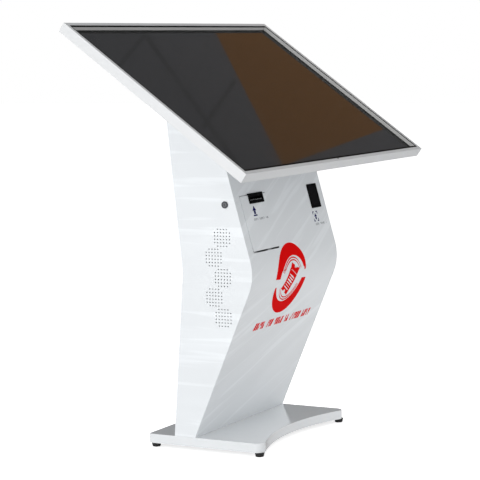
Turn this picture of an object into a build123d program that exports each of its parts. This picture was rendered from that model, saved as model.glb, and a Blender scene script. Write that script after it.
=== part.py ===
"""Ticket vending kiosk: a large tilted touch display on a kinked sheet-metal pedestal and a scooped base.

Frame: +Z up, the user stands on the -Y side, +X is the user's right. The origin is on the floor, under the
centre of the overall box. All lengths are in millimetres.
"""

from build123d import *
from math import atan, cos, degrees, pi, radians, sin, sqrt, tan
import os

os.makedirs("parts", exist_ok=True)

# ---------------------------------------------------------------- driving dimensions
# Display head: a 55 inch panel with a 16:9 picture
picture_width = 1209.6
picture_length = 680.4
head_tilt = 36.0  # from level, low edge towards the user
head_front_height = 893.4  # upper front edge of the rim
bezel_strip = 17.5  # from the picture to the rim lip
rim_lip = 12.7
rim_sheet = 1.5
rim_depth = 31.0
frame_strip = 8.0  # width of the touch frame that shows inside the rim lip
recess_depth = 13.0  # from the rim lip down to the glass
glass_thickness = 3.0
lcd_bezel_sheet = 1.5
lcd_cell_thickness = 2.0
lcd_chassis_depth = 7.9
back_sheet = 1.5
rear_box_width = 950.0
box_screw_columns = (-2.5, -0.8, 0.8, 2.5)  # in sixths of the box's width
rear_box_length = 560.0
rear_box_depth = 40.0
rear_box_opening_margin = 24.0
box_flange = 12.0
rim_edge_radius = 1.2
mitre_gap = 0.15
receiver_x = -14.0
receiver_width = 10.0
receiver_height = 3.0
receiver_sink = 0.5
glass_margin = 8.0
cell_margin = 6.0
spacer_size = 30.0
vent_centre_x = 385.0
vent_centre_u = 60.0
vent_pitch = 12.0
vent_count = 11
vent_length = 120.0
vent_width = 5.0
screw_radius = 1.9
screw_head_radius = 3.6
screw_head_height = 2.2
board_width = 200.0
board_length = 120.0
chip_side = 40.0
board_part_width = 14.0
board_part_length = 15.0
board_part_pitch = (25.0, 30.0)
board_thickness = 1.6
standoff_height = 10.0
standoff_radius = 3.0
chip_height = 5.0
rail_width = 40.0
rail_length = 480.0
rail_wall = 2.5
rail_spread = 400.0  # centre to centre, the usual screw pitch of a large display
head_bolt_slopes = (-20.0, 100.0)

# Base
base_width = 600.0
base_front = -177.0
base_rear = 237.0
base_height = 29.0
base_scoop = 67.0  # depth of the curved front edge
base_front_radius = 26.0
base_rear_radius = 12.0
base_sheet = 2.5
ballast_thickness = 6.0
foot_height = 13.0
foot_top_radius = 15.5
foot_bottom_radius = 12.5
foot_side_inset = 17.0
foot_front_inset = 27.0
foot_rear_inset = 19.0
foot_seat = 6.0  # depth of the bolt head's seat in each foot
foot_seat_gap = 1.0
base_edge_radius = 1.5
bolt_radius = 4.0
bolt_head_radius = 7.0
bolt_head_height = 4.0
bolt_nut_height = 5.0
bolt_tail = 1.0
hole_clearance = 0.1
panel_clearance = 0.5
pedestal_bolt_x = (-240.0, -80.0, 80.0, 240.0)

# Pedestal side outline, as (y, z) of the two sharp kinks and the leans of the faces that meet there
front_kink = (-151.7, 551.0)
front_lower_lean = -23.3
front_upper_lean = 15.6
front_bend_radius = 150.0
rear_kink = (99.6, 563.0)
rear_lower_lean = -4.5
rear_upper_lean = 5.8
rear_bend_radius = 200.0
shell_sheet = 2.0
shell_gap = 0.3  # between the side panels and what they cover
flange_depth = 16.0
flange_plate = 4.0

# Frame posts inside the pedestal
post_width = 25.0
post_depth = 25.0
front_post_depth = 16.0
post_side_gap = 15.0
rear_post_inset = 4.0
post_clearance = 0.5
front_post_top = 615.0
shelf_sheet = 2.0
equipment_shelf_height = 470.0
printer_shelf_inset = 12.0
front_stud_heights = (120.0, 440.0)
rear_stud_heights = (120.0, 640.0, 1000.0)
louvre_rows = 6
louvre_first = 60.0  # first row above the power inlet
louvre_pitch = 14.0
louvre_length = 160.0
louvre_height = 6.0

# Perforated speaker field: round clusters of holes in a zigzag
hole_pitch = 10.3
hole_radius = 2.0
cluster_rows = (4, 6, 6, 6, 6, 4)
cluster_count = 5
cluster_step = 61.7
cluster_top = (-41.5, 671.5)
cluster_offset = 31.0
speaker_cluster = 1  # the cluster that the speaker sits behind, counted from the top

# Ticket door in the upper front face: x across, u up the slope from the sharp kink
door_width = 168.0
door_height = 173.0
door_centre_x = -179.0
door_bottom_u = 80.0
door_side_gap = 1.5
door_top_gap = 2.0
door_bottom_gap = 5.0
door_flange = 12.0
door_flange_sheet = 1.5
door_proud = 2.0  # outer face of the door in front of the panel around it
hinge_rise = 4.0
hinge_set_back = 7.0
knuckle_radius = 4.0
hinge_pin_radius = 2.0
running_gap = 0.08
knuckle_length = 26.0
knuckle_gap = 0.3
knuckle_inset = 8.0
leaf_foot_u = 58.0
leaf_foot_height = 12.0
leaf_sheet = 1.5
magnet_inset = 6.0
magnet_width = 12.0
magnet_height = 10.0
magnet_depth = 20.0
magnet_lap = 2.0
mouth_width = 94.0
mouth_height = 32.5
mouth_overhang = 5.0
mouth_centre_x = -167.0
mouth_thickness = 5.0  # in front of the front panel
slot_width = 84.0
slot_height = 10.0
slot_above_base = 15.5
spout_wall = 3.0
spout_depth = 14.0
mouth_corner_radius = 2.0
mouth_edge_radius = 1.2

# Ticket printer
paper_width = 80.0
paper_roll_radius = 40.0
roll_core_radius = 8.5
spindle_radius = 6.0
roll_centre = (-3.0, 702.0)
platen_radius = 6.0
platen_shaft_radius = 2.5
platen_depth = 36.0
printer_side_sheet = 1.5
printer_clearance = 6.0
gear_module = 1.0
platen_teeth = 24
pinion_teeth = 12
gear_width = 4.0
motor_radius = 10.0
motor_length = 18.0
pinion_shaft_radius = 1.5
gear_gap = 1.0
gear_tooth = ((-0.27, -0.9), (-0.12, 0.7), (0.12, 0.7), (0.27, -0.9))  # share of the pitch, modules
motor_angle = -20.0
printer_head_room = 14.0
printer_front_inset = 17.0
spindle_tail = 4.0
spindle_stop = 4.0
paper_gap = 0.3
print_head_height = 6.0
print_head_depth = 14.0
cutter_depth = 11.0
cutter_height = 22.0
cutter_slit = 3.0

# Code scanner in the upper front face
scanner_width = 68.0
scanner_height = 80.0
scanner_centre_x = 229.5
scanner_centre_u = 216.5
scanner_border = 6.0
scanner_proud = 2.0
scanner_body_depth = 40.0
scanner_collar = 6.0
scanner_corner = 2.0
scanner_wall = 2.5
scanner_window_sink = 0.4
scanner_glass = 2.0
camera_lens_radius = 8.0
camera_lens_length = 12.0

# Cam lock in the left side panel
lock_centre = (-53.3, 772.7)
lock_flange_radius = 11.0
lock_flange = 2.0
lock_barrel_radius = 9.4
lock_barrel_length = 16.0
lock_plug_radius = 6.5
lock_nut_radius = 13.0
lock_nut_thickness = 5.0
cam_length = 28.0
cam_width = 14.0
cam_thickness = 2.5
cam_nut_inset = 1.0
cam_gap = 0.3
key_slot_width = 1.6
key_slot_height = 7.0
key_slot_depth = 4.0
keeper_reach = 12.0
panel_stud_radius = 4.0
panel_stud_length = 13.0
panel_clip_radius = 8.0
panel_clip_length = 11.0

# Equipment on the inner shelf and behind the perforations
speaker_steps = ((3.0, 32.0), (9.0, 30.0), (13.5, 17.0))  # depth and radius of rim, basket, magnet
speaker_cone_radius = 29.0
speaker_cone_depth = 6.0
equipment_gap = 20.0
computer_width = 190.0
computer_length = 140.0
computer_height = 48.0
computer_corner = 5.0
fin_pitch = 8.0
fin_count = 20
fin_depth = 8.0
supply_width = 150.0
supply_length = 98.0
supply_height = 38.0
terminal_width = 14.0

# Rear services
fan_size = 80.0
fan_depth = 25.0
fan_height_u = 330.0  # up the upper rear face from the sharp kink
fan_blades = 7
fan_bore_radius = 37.0
fan_screw_pitch = 71.5
fan_screw_radius = 2.1
fan_corner = 5.0
fan_hub_radius = 15.0
fan_spider = 4.0
fan_spoke_width = 5.0
fan_rotor_gap = 1.0
fan_blade_gap = 1.0
fan_blade_sheet = 1.6
fan_blade_chord = 18.0
fan_blade_pitch = 40.0
fan_guard_radius = 38.0
guard_rings = 4
guard_wire = 2.0
guard_arm_turns = (45, 135)
inlet_width = 60.0
inlet_height = 28.0
inlet_height_z = 120.0
inlet_corner = 2.0
inlet_flange = 2.5
inlet_body_width = 54.0
inlet_body_height = 24.0
inlet_body_depth = 26.0
inlet_socket_x = -9.0
inlet_socket_width = 25.0
inlet_socket_height = 17.0
inlet_socket_depth = 17.0
pin_thickness = 2.0
pin_height = 4.0
pin_spread = 7.0
pin_rise = 3.0
pin_recess = 4.0
rocker_offset_x = 17.0
rocker_width = 13.0
rocker_height = 19.0
rocker_gap = 0.4
rocker_well = 22.0
rocker_well_depth = 8.0
rocker_pivot_depth = 3.0
rocker_rise = 6.0
rocker_dip = 1.6
rocker_tilt = -10.0
socket_proud = 1.0
socket_depth = 18.0
socket_wall = 1.5
socket_width = 17.0
socket_height = 15.0
socket_offset_x = 70.0

# ---------------------------------------------------------------- worked-out sizes
head_width = picture_width + 2 * (bezel_strip + rim_lip)
head_length = picture_length + 2 * (bezel_strip + rim_lip)
tilt_sin, tilt_cos = sin(radians(head_tilt)), cos(radians(head_tilt))
head_front_y = -(head_length * tilt_cos + rim_depth * tilt_sin) / 2
head_centre = (
    0,
    head_front_y + head_length / 2 * tilt_cos,
    head_front_height + head_length / 2 * tilt_sin,
)
head = Plane(origin=head_centre, x_dir=(1, 0, 0), z_dir=(0, -tilt_sin, tilt_cos))
view_width = head_width - 2 * rim_lip
view_length = head_length - 2 * rim_lip
glass_top = recess_depth
lcd_top = glass_top + glass_thickness
cell_top = lcd_top + lcd_bezel_sheet
chassis_top = cell_top + lcd_cell_thickness
back_top = rim_depth - back_sheet
head_under = rim_depth + rear_box_depth  # depth of the lowest face of the head
head_under_point = (head_centre[1] + head_under * tilt_sin, head_centre[2] - head_under * tilt_cos)

base_top = foot_height + base_height
post_floor = base_top + flange_plate
scanner_throat_width = scanner_width - 2 * scanner_border
scanner_throat_height = scanner_height - 2 * scanner_border
scanner_sight_width = scanner_throat_width - 2 * scanner_wall
scanner_sight_height = scanner_throat_height - 2 * scanner_wall
spout_width = slot_width + 2 * spout_wall
spout_height = slot_height + 2 * spout_wall
head_bolt_spots = [(side * rail_spread / 2, slope) for side in (-1, 1) for slope in head_bolt_slopes]
box_screw_spots = [
    (side * (rear_box_width + box_flange) / 2, row * rear_box_length / 3)
    for side in (-1, 1)
    for row in (-1, 0, 1)
] + [
    (column * rear_box_width / 6, side * (rear_box_length + box_flange) / 2)
    for side in (-1, 1)
    for column in box_screw_columns
]
shell_half = base_width / 2
inner_half = shell_half - shell_sheet - shell_gap
post_outer = inner_half + shell_gap - post_side_gap
post_inner = post_outer - post_width

front_sin, front_cos = sin(radians(front_upper_lean)), cos(radians(front_upper_lean))
front_face = Plane(
    origin=(0, *front_kink), x_dir=(1, 0, 0), z_dir=(0, -front_cos, front_sin)
)
rear_sin, rear_cos = sin(radians(rear_upper_lean)), cos(radians(rear_upper_lean))
rear_face = Plane(origin=(0, *rear_kink), x_dir=(-1, 0, 0), z_dir=(0, rear_cos, -rear_sin))
lower_sin, lower_cos = sin(radians(rear_lower_lean)), cos(radians(rear_lower_lean))
rear_lower_face = Plane(
    origin=(0, *rear_kink), x_dir=(-1, 0, 0), z_dir=(0, lower_cos, -lower_sin)
)

hinge_u = door_bottom_u + hinge_rise
slot_u = door_bottom_u + door_height + mouth_overhang - mouth_height + slot_above_base


# ---------------------------------------------------------------- helpers
def lean_y(kink, lower_lean, upper_lean, z, inset=0.0):
    """y of a kinked face at height z, moved inset along +Y's side of its own normal."""
    lean = radians(lower_lean if z < kink[1] else upper_lean)
    return kink[0] + inset / cos(lean) + (z - kink[1]) * tan(lean)


def front_y(z, inset=0.0):
    """y of the pedestal's front at height z, inset mm inside its outer face."""
    return lean_y(front_kink, front_lower_lean, front_upper_lean, z, inset)


def rear_y(z, inset=0.0):
    """y of the pedestal's rear at height z, inset mm inside its outer face."""
    return lean_y(rear_kink, rear_lower_lean, rear_upper_lean, z, -inset)


def kinked_path(kink, lower_lean, upper_lean, inset, floor_z, drop):
    """Foot, kink and top of a kinked face moved by inset, from floor_z up to drop below the head."""
    low, high = radians(lower_lean), radians(upper_lean)
    rise = inset * (1 / cos(high) - 1 / cos(low)) / (tan(low) - tan(high))
    kink_z = kink[1] + rise
    kink_y = kink[0] + inset / cos(low) + rise * tan(low)
    slope = tan(radians(head_tilt))
    under_y, under_z = head_under_point
    under_z -= drop / tilt_cos
    top_z = (under_z + (kink_y - kink_z * tan(high) - under_y) * slope) / (1 - tan(high) * slope)
    foot = (kink_y + (floor_z - kink_z) * tan(low), floor_z)
    return foot, (kink_y, kink_z), (kink_y + (top_z - kink_z) * tan(high), top_z)


def front_path(inset, floor_z=base_top, drop=0.0):
    """The pedestal's front line, inset mm inside its outer face."""
    return kinked_path(front_kink, front_lower_lean, front_upper_lean, inset, floor_z, drop)


def rear_path(inset, floor_z=base_top, drop=0.0):
    """The pedestal's rear line, inset mm inside its outer face."""
    return kinked_path(rear_kink, rear_lower_lean, rear_upper_lean, -inset, floor_z, drop)


def band(outer_path, outer_radius, inner_path, inner_radius):
    """Closed face between two kinked lines with rounded kinks, in side view."""
    with BuildSketch() as face:
        with BuildLine():
            FilletPolyline(*outer_path, radius=outer_radius)
            Line(outer_path[-1], inner_path[-1])
            FilletPolyline(*reversed(inner_path), radius=inner_radius)
            Line(inner_path[0], outer_path[0])
        make_face()
    return face.sketch


def front_band(inset, depth, floor_z=base_top, drop=0.0):
    """A strip that follows the front, from inset to inset + depth inside it."""
    return band(
        front_path(inset, floor_z, drop),
        front_bend_radius - inset,
        front_path(inset + depth, floor_z, drop),
        front_bend_radius - inset - depth,
    )


def rear_band(inset, depth, floor_z=base_top, drop=0.0):
    """A strip that follows the rear, from inset to inset + depth inside it."""
    return band(
        rear_path(inset, floor_z, drop),
        rear_bend_radius + inset,
        rear_path(inset + depth, floor_z, drop),
        rear_bend_radius + inset + depth,
    )


def side_outline():
    """The whole side outline of the pedestal."""
    return band(front_path(0), front_bend_radius, rear_path(0), rear_bend_radius)


def base_outline(inset):
    """Plan outline of the base: straight rear and sides, curved front, rounded corners."""
    half = base_width / 2
    with BuildSketch() as plan:
        with BuildLine():
            Polyline(
                (half, base_front), (half, base_rear), (-half, base_rear), (-half, base_front)
            )
            ThreePointArc((-half, base_front), (0, base_front + base_scoop), (half, base_front))
        make_face()
        fillet(plan.vertices().group_by(Axis.Y)[0], base_front_radius)
        fillet(plan.vertices().group_by(Axis.Y)[-1], base_rear_radius)
        if inset:
            offset(amount=-inset, kind=Kind.INTERSECTION)
    return plan.sketch


def trapezoid(outer_half, inner_half_length, edge, width):
    """Mitred strip along the local X axis, its long edge at y = -edge."""
    with BuildSketch() as strip:
        with BuildLine():
            Polyline(
                (-outer_half, -edge),
                (outer_half, -edge),
                (inner_half_length, width - edge),
                (-inner_half_length, width - edge),
                close=True,
            )
        make_face()
    return strip.sketch


def perforations():
    """Round clusters of holes in a zigzag down the side, in side view."""
    with BuildSketch() as holes:
        for index in range(cluster_count):
            centre_z = cluster_top[1] - cluster_step * index
            for row, count in enumerate(cluster_rows):
                row_z = centre_z + (row - (len(cluster_rows) - 1) / 2) * hole_pitch
                with Locations((cluster_y(index), row_z)):
                    with GridLocations(hole_pitch, hole_pitch, count, 1):
                        Circle(hole_radius)
    return holes.sketch


def cluster_y(index):
    """y of the centre of one cluster of holes, counted from the top."""
    return cluster_top[0] + cluster_offset * (index % 2)


def gear_outline(teeth):
    """Spur gear outline with slim straight-sided teeth."""
    pitch_radius = gear_module * teeth / 2
    step = 2 * pi / teeth
    points = []
    for tooth in range(teeth):
        for share, radius in gear_tooth:
            angle = tooth * step + share * step
            reach = pitch_radius + radius * gear_module
            points.append((reach * cos(angle), reach * sin(angle)))
    with BuildSketch() as outline:
        with BuildLine():
            Polyline(*points, close=True)
        make_face()
    return outline.sketch


def turned(plane, angle):
    """The plane turned about its own normal by an angle in degrees."""
    turn = radians(angle)
    x_dir = plane.x_dir * cos(turn) + plane.y_dir * sin(turn)
    return Plane(origin=plane.origin, x_dir=x_dir, z_dir=plane.z_dir)


def save(node, label):
    """Labels a finished sub-part and writes it as parts/LABEL.step."""
    node.part.label = label
    export_step(node.part, f"parts/{label}.step")


# ---------------------------------------------------------------- base
foot_x = base_width / 2 - foot_side_inset
foot_spots = [
    (side * foot_x, y)
    for side in (-1, 1)
    for y in (base_front + foot_front_inset, base_rear - foot_rear_inset)
]
pedestal_middle_y = (front_y(base_top) + rear_y(base_top)) / 2
pedestal_bolt_spots = [(x, pedestal_middle_y) for x in pedestal_bolt_x]

with BuildPart() as base_pan:
    with BuildSketch(Plane.XY.offset(foot_height)):
        add(base_outline(0))
    extrude(amount=base_height)
    fillet(base_pan.edges().group_by(Axis.Z)[-1], base_edge_radius)
    with BuildSketch(Plane.XY.offset(foot_height)):
        add(base_outline(base_sheet))
    extrude(amount=base_height - base_sheet, mode=Mode.SUBTRACT)
    with BuildSketch(Plane.XY.offset(base_top - base_sheet)):
        with Locations(*pedestal_bolt_spots):
            Circle(bolt_radius + hole_clearance)
    extrude(amount=base_sheet, mode=Mode.SUBTRACT)
save(base_pan, "base_pan")

with BuildPart() as ballast_plate:
    with BuildSketch(Plane.XY.offset(foot_height)):
        add(base_outline(base_sheet + hole_clearance))
        with Locations(*foot_spots):
            Circle(bolt_radius + hole_clearance, mode=Mode.SUBTRACT)
    extrude(amount=ballast_thickness)
save(ballast_plate, "ballast_plate")

with BuildPart() as rubber_feet:
    with BuildSketch():
        with Locations(*foot_spots):
            Circle(foot_bottom_radius)
    foot_flare = degrees(atan((foot_top_radius - foot_bottom_radius) / foot_height))
    extrude(amount=foot_height, taper=-foot_flare)
    with BuildSketch():
        with Locations(*foot_spots):
            Circle(bolt_head_radius + foot_seat_gap)
    extrude(amount=foot_seat, mode=Mode.SUBTRACT)
    with BuildSketch():
        with Locations(*foot_spots):
            Circle(bolt_radius + hole_clearance)
    extrude(amount=foot_height, mode=Mode.SUBTRACT)
save(rubber_feet, "rubber_feet")


def bolt(plane, grip):
    """Adds a hexagon-nut bolt at each location of the plane: head below it, grip and nut above."""
    with BuildSketch(plane.offset(-bolt_head_height)) as profile:
        Circle(bolt_head_radius)
    extrude(profile.sketch, amount=bolt_head_height)
    with BuildSketch(plane) as profile:
        Circle(bolt_radius)
    extrude(profile.sketch, amount=grip + bolt_nut_height + bolt_tail)
    with BuildSketch(plane.offset(grip)) as profile:
        RegularPolygon(bolt_head_radius, 6)
    extrude(profile.sketch, amount=bolt_nut_height)

with BuildPart() as frame_bolts:
    for x, y in foot_spots:
        bolt(Plane(origin=(x, y, foot_seat)), foot_height + ballast_thickness - foot_seat)
    for x, y in pedestal_bolt_spots:
        bolt(Plane(origin=(x, y, base_top - base_sheet)), base_sheet + flange_plate)
    for x, slope in head_bolt_spots:
        seat = head.offset(-head_under - flange_plate)
        spot = seat.from_local_coords(Vector(x, slope, 0))
        bolt(
            Plane(origin=spot, x_dir=head.x_dir, z_dir=head.z_dir),
            flange_plate + back_sheet + rail_wall,
        )
save(frame_bolts, "frame_bolts")


# ---------------------------------------------------------------- pedestal frame
with BuildPart() as frame_posts:
    for side in (-1, 1):
        post_plane = Plane.YZ.offset(side * (post_outer + post_inner) / 2)
        with BuildSketch(post_plane):
            add(front_band(shell_sheet + shell_gap, front_post_depth, post_floor))
            with Locations((0, post_floor)):
                Rectangle(
                    head_width,
                    front_post_top - post_floor,
                    align=(Align.CENTER, Align.MIN),
                    mode=Mode.INTERSECT,
                )
        extrude(amount=post_width / 2, both=True)
        with BuildSketch(post_plane):
            add(rear_band(rear_post_inset, post_depth, post_floor, flange_plate))
        extrude(amount=post_width / 2, both=True)
save(frame_posts, "frame_posts")


def cross_shelf(height, half_width, front_inset, rear_inset):
    """Adds a level sheet between the front and the rear of the pedestal, with turned-up rear edge."""
    shelf_front = front_y(height, front_inset)
    shelf_rear = min(rear_y(height, rear_inset), rear_y(height + flange_depth, rear_inset))
    with BuildSketch(Plane.XY.offset(height)) as profile:
        with Locations((0, shelf_front)):
            Rectangle(
                2 * half_width, shelf_rear - shelf_front, align=(Align.CENTER, Align.MIN)
            )
    extrude(profile.sketch, amount=shelf_sheet)
    with BuildSketch(Plane.XY.offset(height)) as profile:
        with Locations((0, shelf_rear)):
            Rectangle(2 * half_width, shelf_sheet, align=(Align.CENTER, Align.MAX))
    extrude(profile.sketch, amount=flange_depth)


rear_post_front = rear_post_inset + post_depth
front_post_back = shell_sheet + shell_gap + front_post_depth
with BuildPart() as inner_shelves:
    shelf_rear_inset = rear_post_front + post_clearance
    cross_shelf(
        equipment_shelf_height, post_outer, front_post_back + post_clearance, shelf_rear_inset
    )
    cross_shelf(front_post_top, post_outer, printer_shelf_inset, shelf_rear_inset)
save(inner_shelves, "inner_shelves")

with BuildPart() as end_plates:
    plate_front = front_y(base_top, shell_sheet) + panel_clearance
    plate_rear = rear_y(base_top + flange_plate, shell_sheet) - panel_clearance
    with BuildSketch(Plane.XY.offset(base_top)):
        with Locations((0, (plate_front + plate_rear) / 2)):
            Rectangle(2 * (inner_half - shell_sheet - panel_clearance), plate_rear - plate_front)
        with Locations(*pedestal_bolt_spots):
            Circle(bolt_radius + hole_clearance, mode=Mode.SUBTRACT)
    extrude(amount=flange_plate)
    plate_inset = shell_sheet + panel_clearance
    with BuildSketch(Plane.YZ):
        with BuildLine():
            Polyline(
                front_path(plate_inset)[-1],
                rear_path(plate_inset)[-1],
                rear_path(plate_inset, drop=flange_plate)[-1],
                front_path(plate_inset, drop=flange_plate)[-1],
                close=True,
            )
        make_face()
    extrude(amount=inner_half - shell_sheet - panel_clearance, both=True)
    for x, slope in head_bolt_spots:
        with BuildSketch(head.offset(-head_under)):
            with Locations((x, slope)):
                Circle(bolt_radius + hole_clearance)
        extrude(amount=-flange_plate, mode=Mode.SUBTRACT)
save(end_plates, "end_plates")


# ---------------------------------------------------------------- pedestal shell
def stud_spots():
    """(y, z) of the panel studs: on the posts, low and high, front and rear."""
    front_inset = shell_sheet + shell_gap + front_post_depth / 2
    rear_inset = rear_post_inset + post_depth / 2
    spots = [(front_y(z, front_inset), z) for z in front_stud_heights]
    return spots + [(rear_y(z, rear_inset), z) for z in rear_stud_heights]


def side_panel(side):
    """Adds one side panel: perforated sheet with studs on its inner face."""
    inner_x = side * (shell_half - shell_sheet)
    with BuildSketch(Plane.YZ.offset(inner_x)) as profile:
        add(side_outline())
    extrude(profile.sketch, amount=side * shell_sheet)
    with BuildSketch(Plane.YZ.offset(inner_x)) as profile:
        add(perforations())
    extrude(profile.sketch, amount=side * shell_sheet, mode=Mode.SUBTRACT)
    with BuildSketch(Plane.YZ.offset(inner_x)) as profile:
        with Locations(*stud_spots()):
            Circle(panel_stud_radius)
    extrude(profile.sketch, amount=-side * panel_stud_length)


def stud_holes(side):
    """Cuts the clearance holes for the panel studs through one side flange."""
    with BuildSketch(Plane.YZ.offset(side * inner_half)) as holes:
        with Locations(*stud_spots()):
            Circle(panel_stud_radius + panel_clearance)
    extrude(holes.sketch, amount=-side * shell_sheet, mode=Mode.SUBTRACT)


with BuildPart() as side_panel_left:
    side_panel(-1)
    with BuildSketch(Plane.YZ.offset(-shell_half)):
        with Locations(lock_centre):
            Circle(lock_barrel_radius + hole_clearance)
    extrude(amount=shell_sheet, mode=Mode.SUBTRACT)
save(side_panel_left, "side_panel_left")

with BuildPart() as side_panel_right:
    side_panel(1)
save(side_panel_right, "side_panel_right")

with BuildPart() as panel_clips:
    for side in (-1, 1):
        with BuildSketch(Plane.YZ.offset(side * post_outer)):
            with Locations(*stud_spots()):
                Circle(panel_clip_radius)
                Circle(panel_stud_radius + shell_gap, mode=Mode.SUBTRACT)
        extrude(amount=side * panel_clip_length)
save(panel_clips, "panel_clips")

with BuildPart() as front_panel:
    with BuildSketch(Plane.YZ):
        add(front_band(0, shell_sheet))
    extrude(amount=inner_half, both=True)
    for side in (-1, 1):
        with BuildSketch(Plane.YZ.offset(side * inner_half)):
            add(front_band(shell_sheet, flange_depth, post_floor, flange_plate + panel_clearance))
        extrude(amount=-side * shell_sheet)
        stud_holes(side)
    opening_bottom = door_bottom_u - door_bottom_gap
    opening_top = door_bottom_u + door_height + door_top_gap
    with BuildSketch(front_face):
        with Locations((door_centre_x, opening_bottom)):
            Rectangle(
                door_width + 2 * door_side_gap,
                opening_top - opening_bottom,
                align=(Align.CENTER, Align.MIN),
            )
        with Locations((scanner_centre_x, scanner_centre_u)):
            Rectangle(scanner_throat_width, scanner_throat_height)
    extrude(amount=-shell_sheet, mode=Mode.SUBTRACT)
save(front_panel, "front_panel")

fan_hole_spots = [
    (x * fan_screw_pitch / 2, fan_height_u + u * fan_screw_pitch / 2)
    for x in (-1, 1)
    for u in (-1, 1)
]
inlet_u = (inlet_height_z - rear_kink[1]) / lower_cos

with BuildPart() as rear_panel:
    with BuildSketch(Plane.YZ):
        add(rear_band(0, shell_sheet))
    extrude(amount=inner_half, both=True)
    for side in (-1, 1):
        with BuildSketch(Plane.YZ.offset(side * inner_half)):
            add(rear_band(shell_sheet, flange_depth, post_floor, flange_plate + panel_clearance))
        extrude(amount=-side * shell_sheet)
        stud_holes(side)
    with BuildSketch(rear_face):
        with Locations((0, fan_height_u)):
            Circle(fan_bore_radius)
        with Locations(*fan_hole_spots):
            Circle(fan_screw_radius + hole_clearance)
    extrude(amount=-shell_sheet, mode=Mode.SUBTRACT)
    with BuildSketch(rear_lower_face):
        with Locations((0, inlet_u)):
            Rectangle(inlet_body_width + 2 * panel_clearance, inlet_body_height + 2 * panel_clearance)
        with Locations((socket_offset_x, inlet_u)):
            Rectangle(socket_width + 2 * panel_clearance, socket_height + 2 * panel_clearance)
        for row in range(louvre_rows):
            with Locations((0, inlet_u + louvre_first + row * louvre_pitch)):
                SlotOverall(louvre_length, louvre_height)
    extrude(amount=-shell_sheet, mode=Mode.SUBTRACT)
save(rear_panel, "rear_panel")


# ---------------------------------------------------------------- display head
rim_sides = {
    "rim_front": (0, head_width, head_length),
    "rim_right": (90, head_length, head_width),
    "rim_back": (180, head_width, head_length),
    "rim_left": (270, head_length, head_width),
}
for rim_name, (turn, bar_length, reach) in rim_sides.items():
    bar_plane = turned(head, turn)
    half = bar_length / 2 - mitre_gap
    with BuildPart() as rim_bar:
        with BuildSketch(bar_plane):
            add(trapezoid(half, half - rim_lip, reach / 2, rim_lip))
        extrude(amount=-rim_sheet)
        with BuildSketch(bar_plane):
            add(trapezoid(half, half - rim_sheet, reach / 2, rim_sheet))
        extrude(amount=-rim_depth)
        outer_edge = bar_plane.from_local_coords(Vector(0, -reach / 2, 0))
        fillet(rim_bar.edges().sort_by_distance(outer_edge)[0], rim_edge_radius)
        if rim_name == "rim_front":
            with BuildSketch(bar_plane):
                with Locations((receiver_x, rim_lip - reach / 2)):
                    Rectangle(
                        receiver_width, receiver_height, align=(Align.CENTER, Align.MAX)
                    )
            extrude(amount=-rim_sheet, mode=Mode.SUBTRACT)
    save(rim_bar, rim_name)

with BuildPart() as receiver_window:
    with BuildSketch(head.offset(-receiver_sink)):
        with Locations((receiver_x, rim_lip - head_length / 2)):
            Rectangle(
                receiver_width - 2 * hole_clearance,
                receiver_height - hole_clearance,
                align=(Align.CENTER, Align.MAX),
            )
    extrude(amount=receiver_sink - rim_sheet)
save(receiver_window, "receiver_window")

inner_width = head_width - 2 * (rim_sheet + hole_clearance)
inner_length = head_length - 2 * (rim_sheet + hole_clearance)
stack_width = view_width + 2 * glass_margin
stack_length = view_length + 2 * glass_margin

with BuildPart() as touch_frame:
    with BuildSketch(head.offset(-rim_sheet)):
        Rectangle(inner_width, inner_length)
        Rectangle(view_width - 2 * frame_strip, view_length - 2 * frame_strip, mode=Mode.SUBTRACT)
    extrude(amount=rim_sheet - glass_top)
save(touch_frame, "touch_frame")

with BuildPart() as touch_glass:
    with BuildSketch(head.offset(-glass_top)):
        Rectangle(stack_width, stack_length)
    extrude(amount=-glass_thickness)
save(touch_glass, "touch_glass")

with BuildPart() as lcd_bezel:
    with BuildSketch(head.offset(-lcd_top)):
        Rectangle(stack_width, stack_length)
        Rectangle(picture_width, picture_length, mode=Mode.SUBTRACT)
    extrude(amount=-lcd_bezel_sheet)
save(lcd_bezel, "lcd_bezel")

with BuildPart() as lcd_cell:
    with BuildSketch(head.offset(-cell_top)):
        Rectangle(picture_width + 2 * cell_margin, picture_length + 2 * cell_margin)
    extrude(amount=-lcd_cell_thickness)
save(lcd_cell, "lcd_cell")

with BuildPart() as backlight_unit:
    with BuildSketch(head.offset(-chassis_top)):
        Rectangle(stack_width, stack_length)
    extrude(amount=-lcd_chassis_depth)
    fillet(backlight_unit.edges().filter_by(Axis((0, 0, 0), head.z_dir)), glass_margin)
save(backlight_unit, "backlight_unit")

opening_width = rear_box_width - 2 * rear_box_opening_margin
opening_length = rear_box_length - 2 * rear_box_opening_margin
with BuildPart() as display_back:
    with BuildSketch(head.offset(-back_top)):
        Rectangle(inner_width, inner_length)
        Rectangle(opening_width, opening_length, mode=Mode.SUBTRACT)
        with Locations(*box_screw_spots):
            Circle(screw_radius + hole_clearance, mode=Mode.SUBTRACT)
    extrude(amount=-back_sheet)
    with BuildSketch(head.offset(-back_top)):
        with GridLocations(stack_width - spacer_size, (stack_length - spacer_size) / 2, 2, 3):
            Rectangle(spacer_size, spacer_size)
    extrude(amount=back_top - chassis_top - lcd_chassis_depth)
save(display_back, "display_back")

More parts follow.
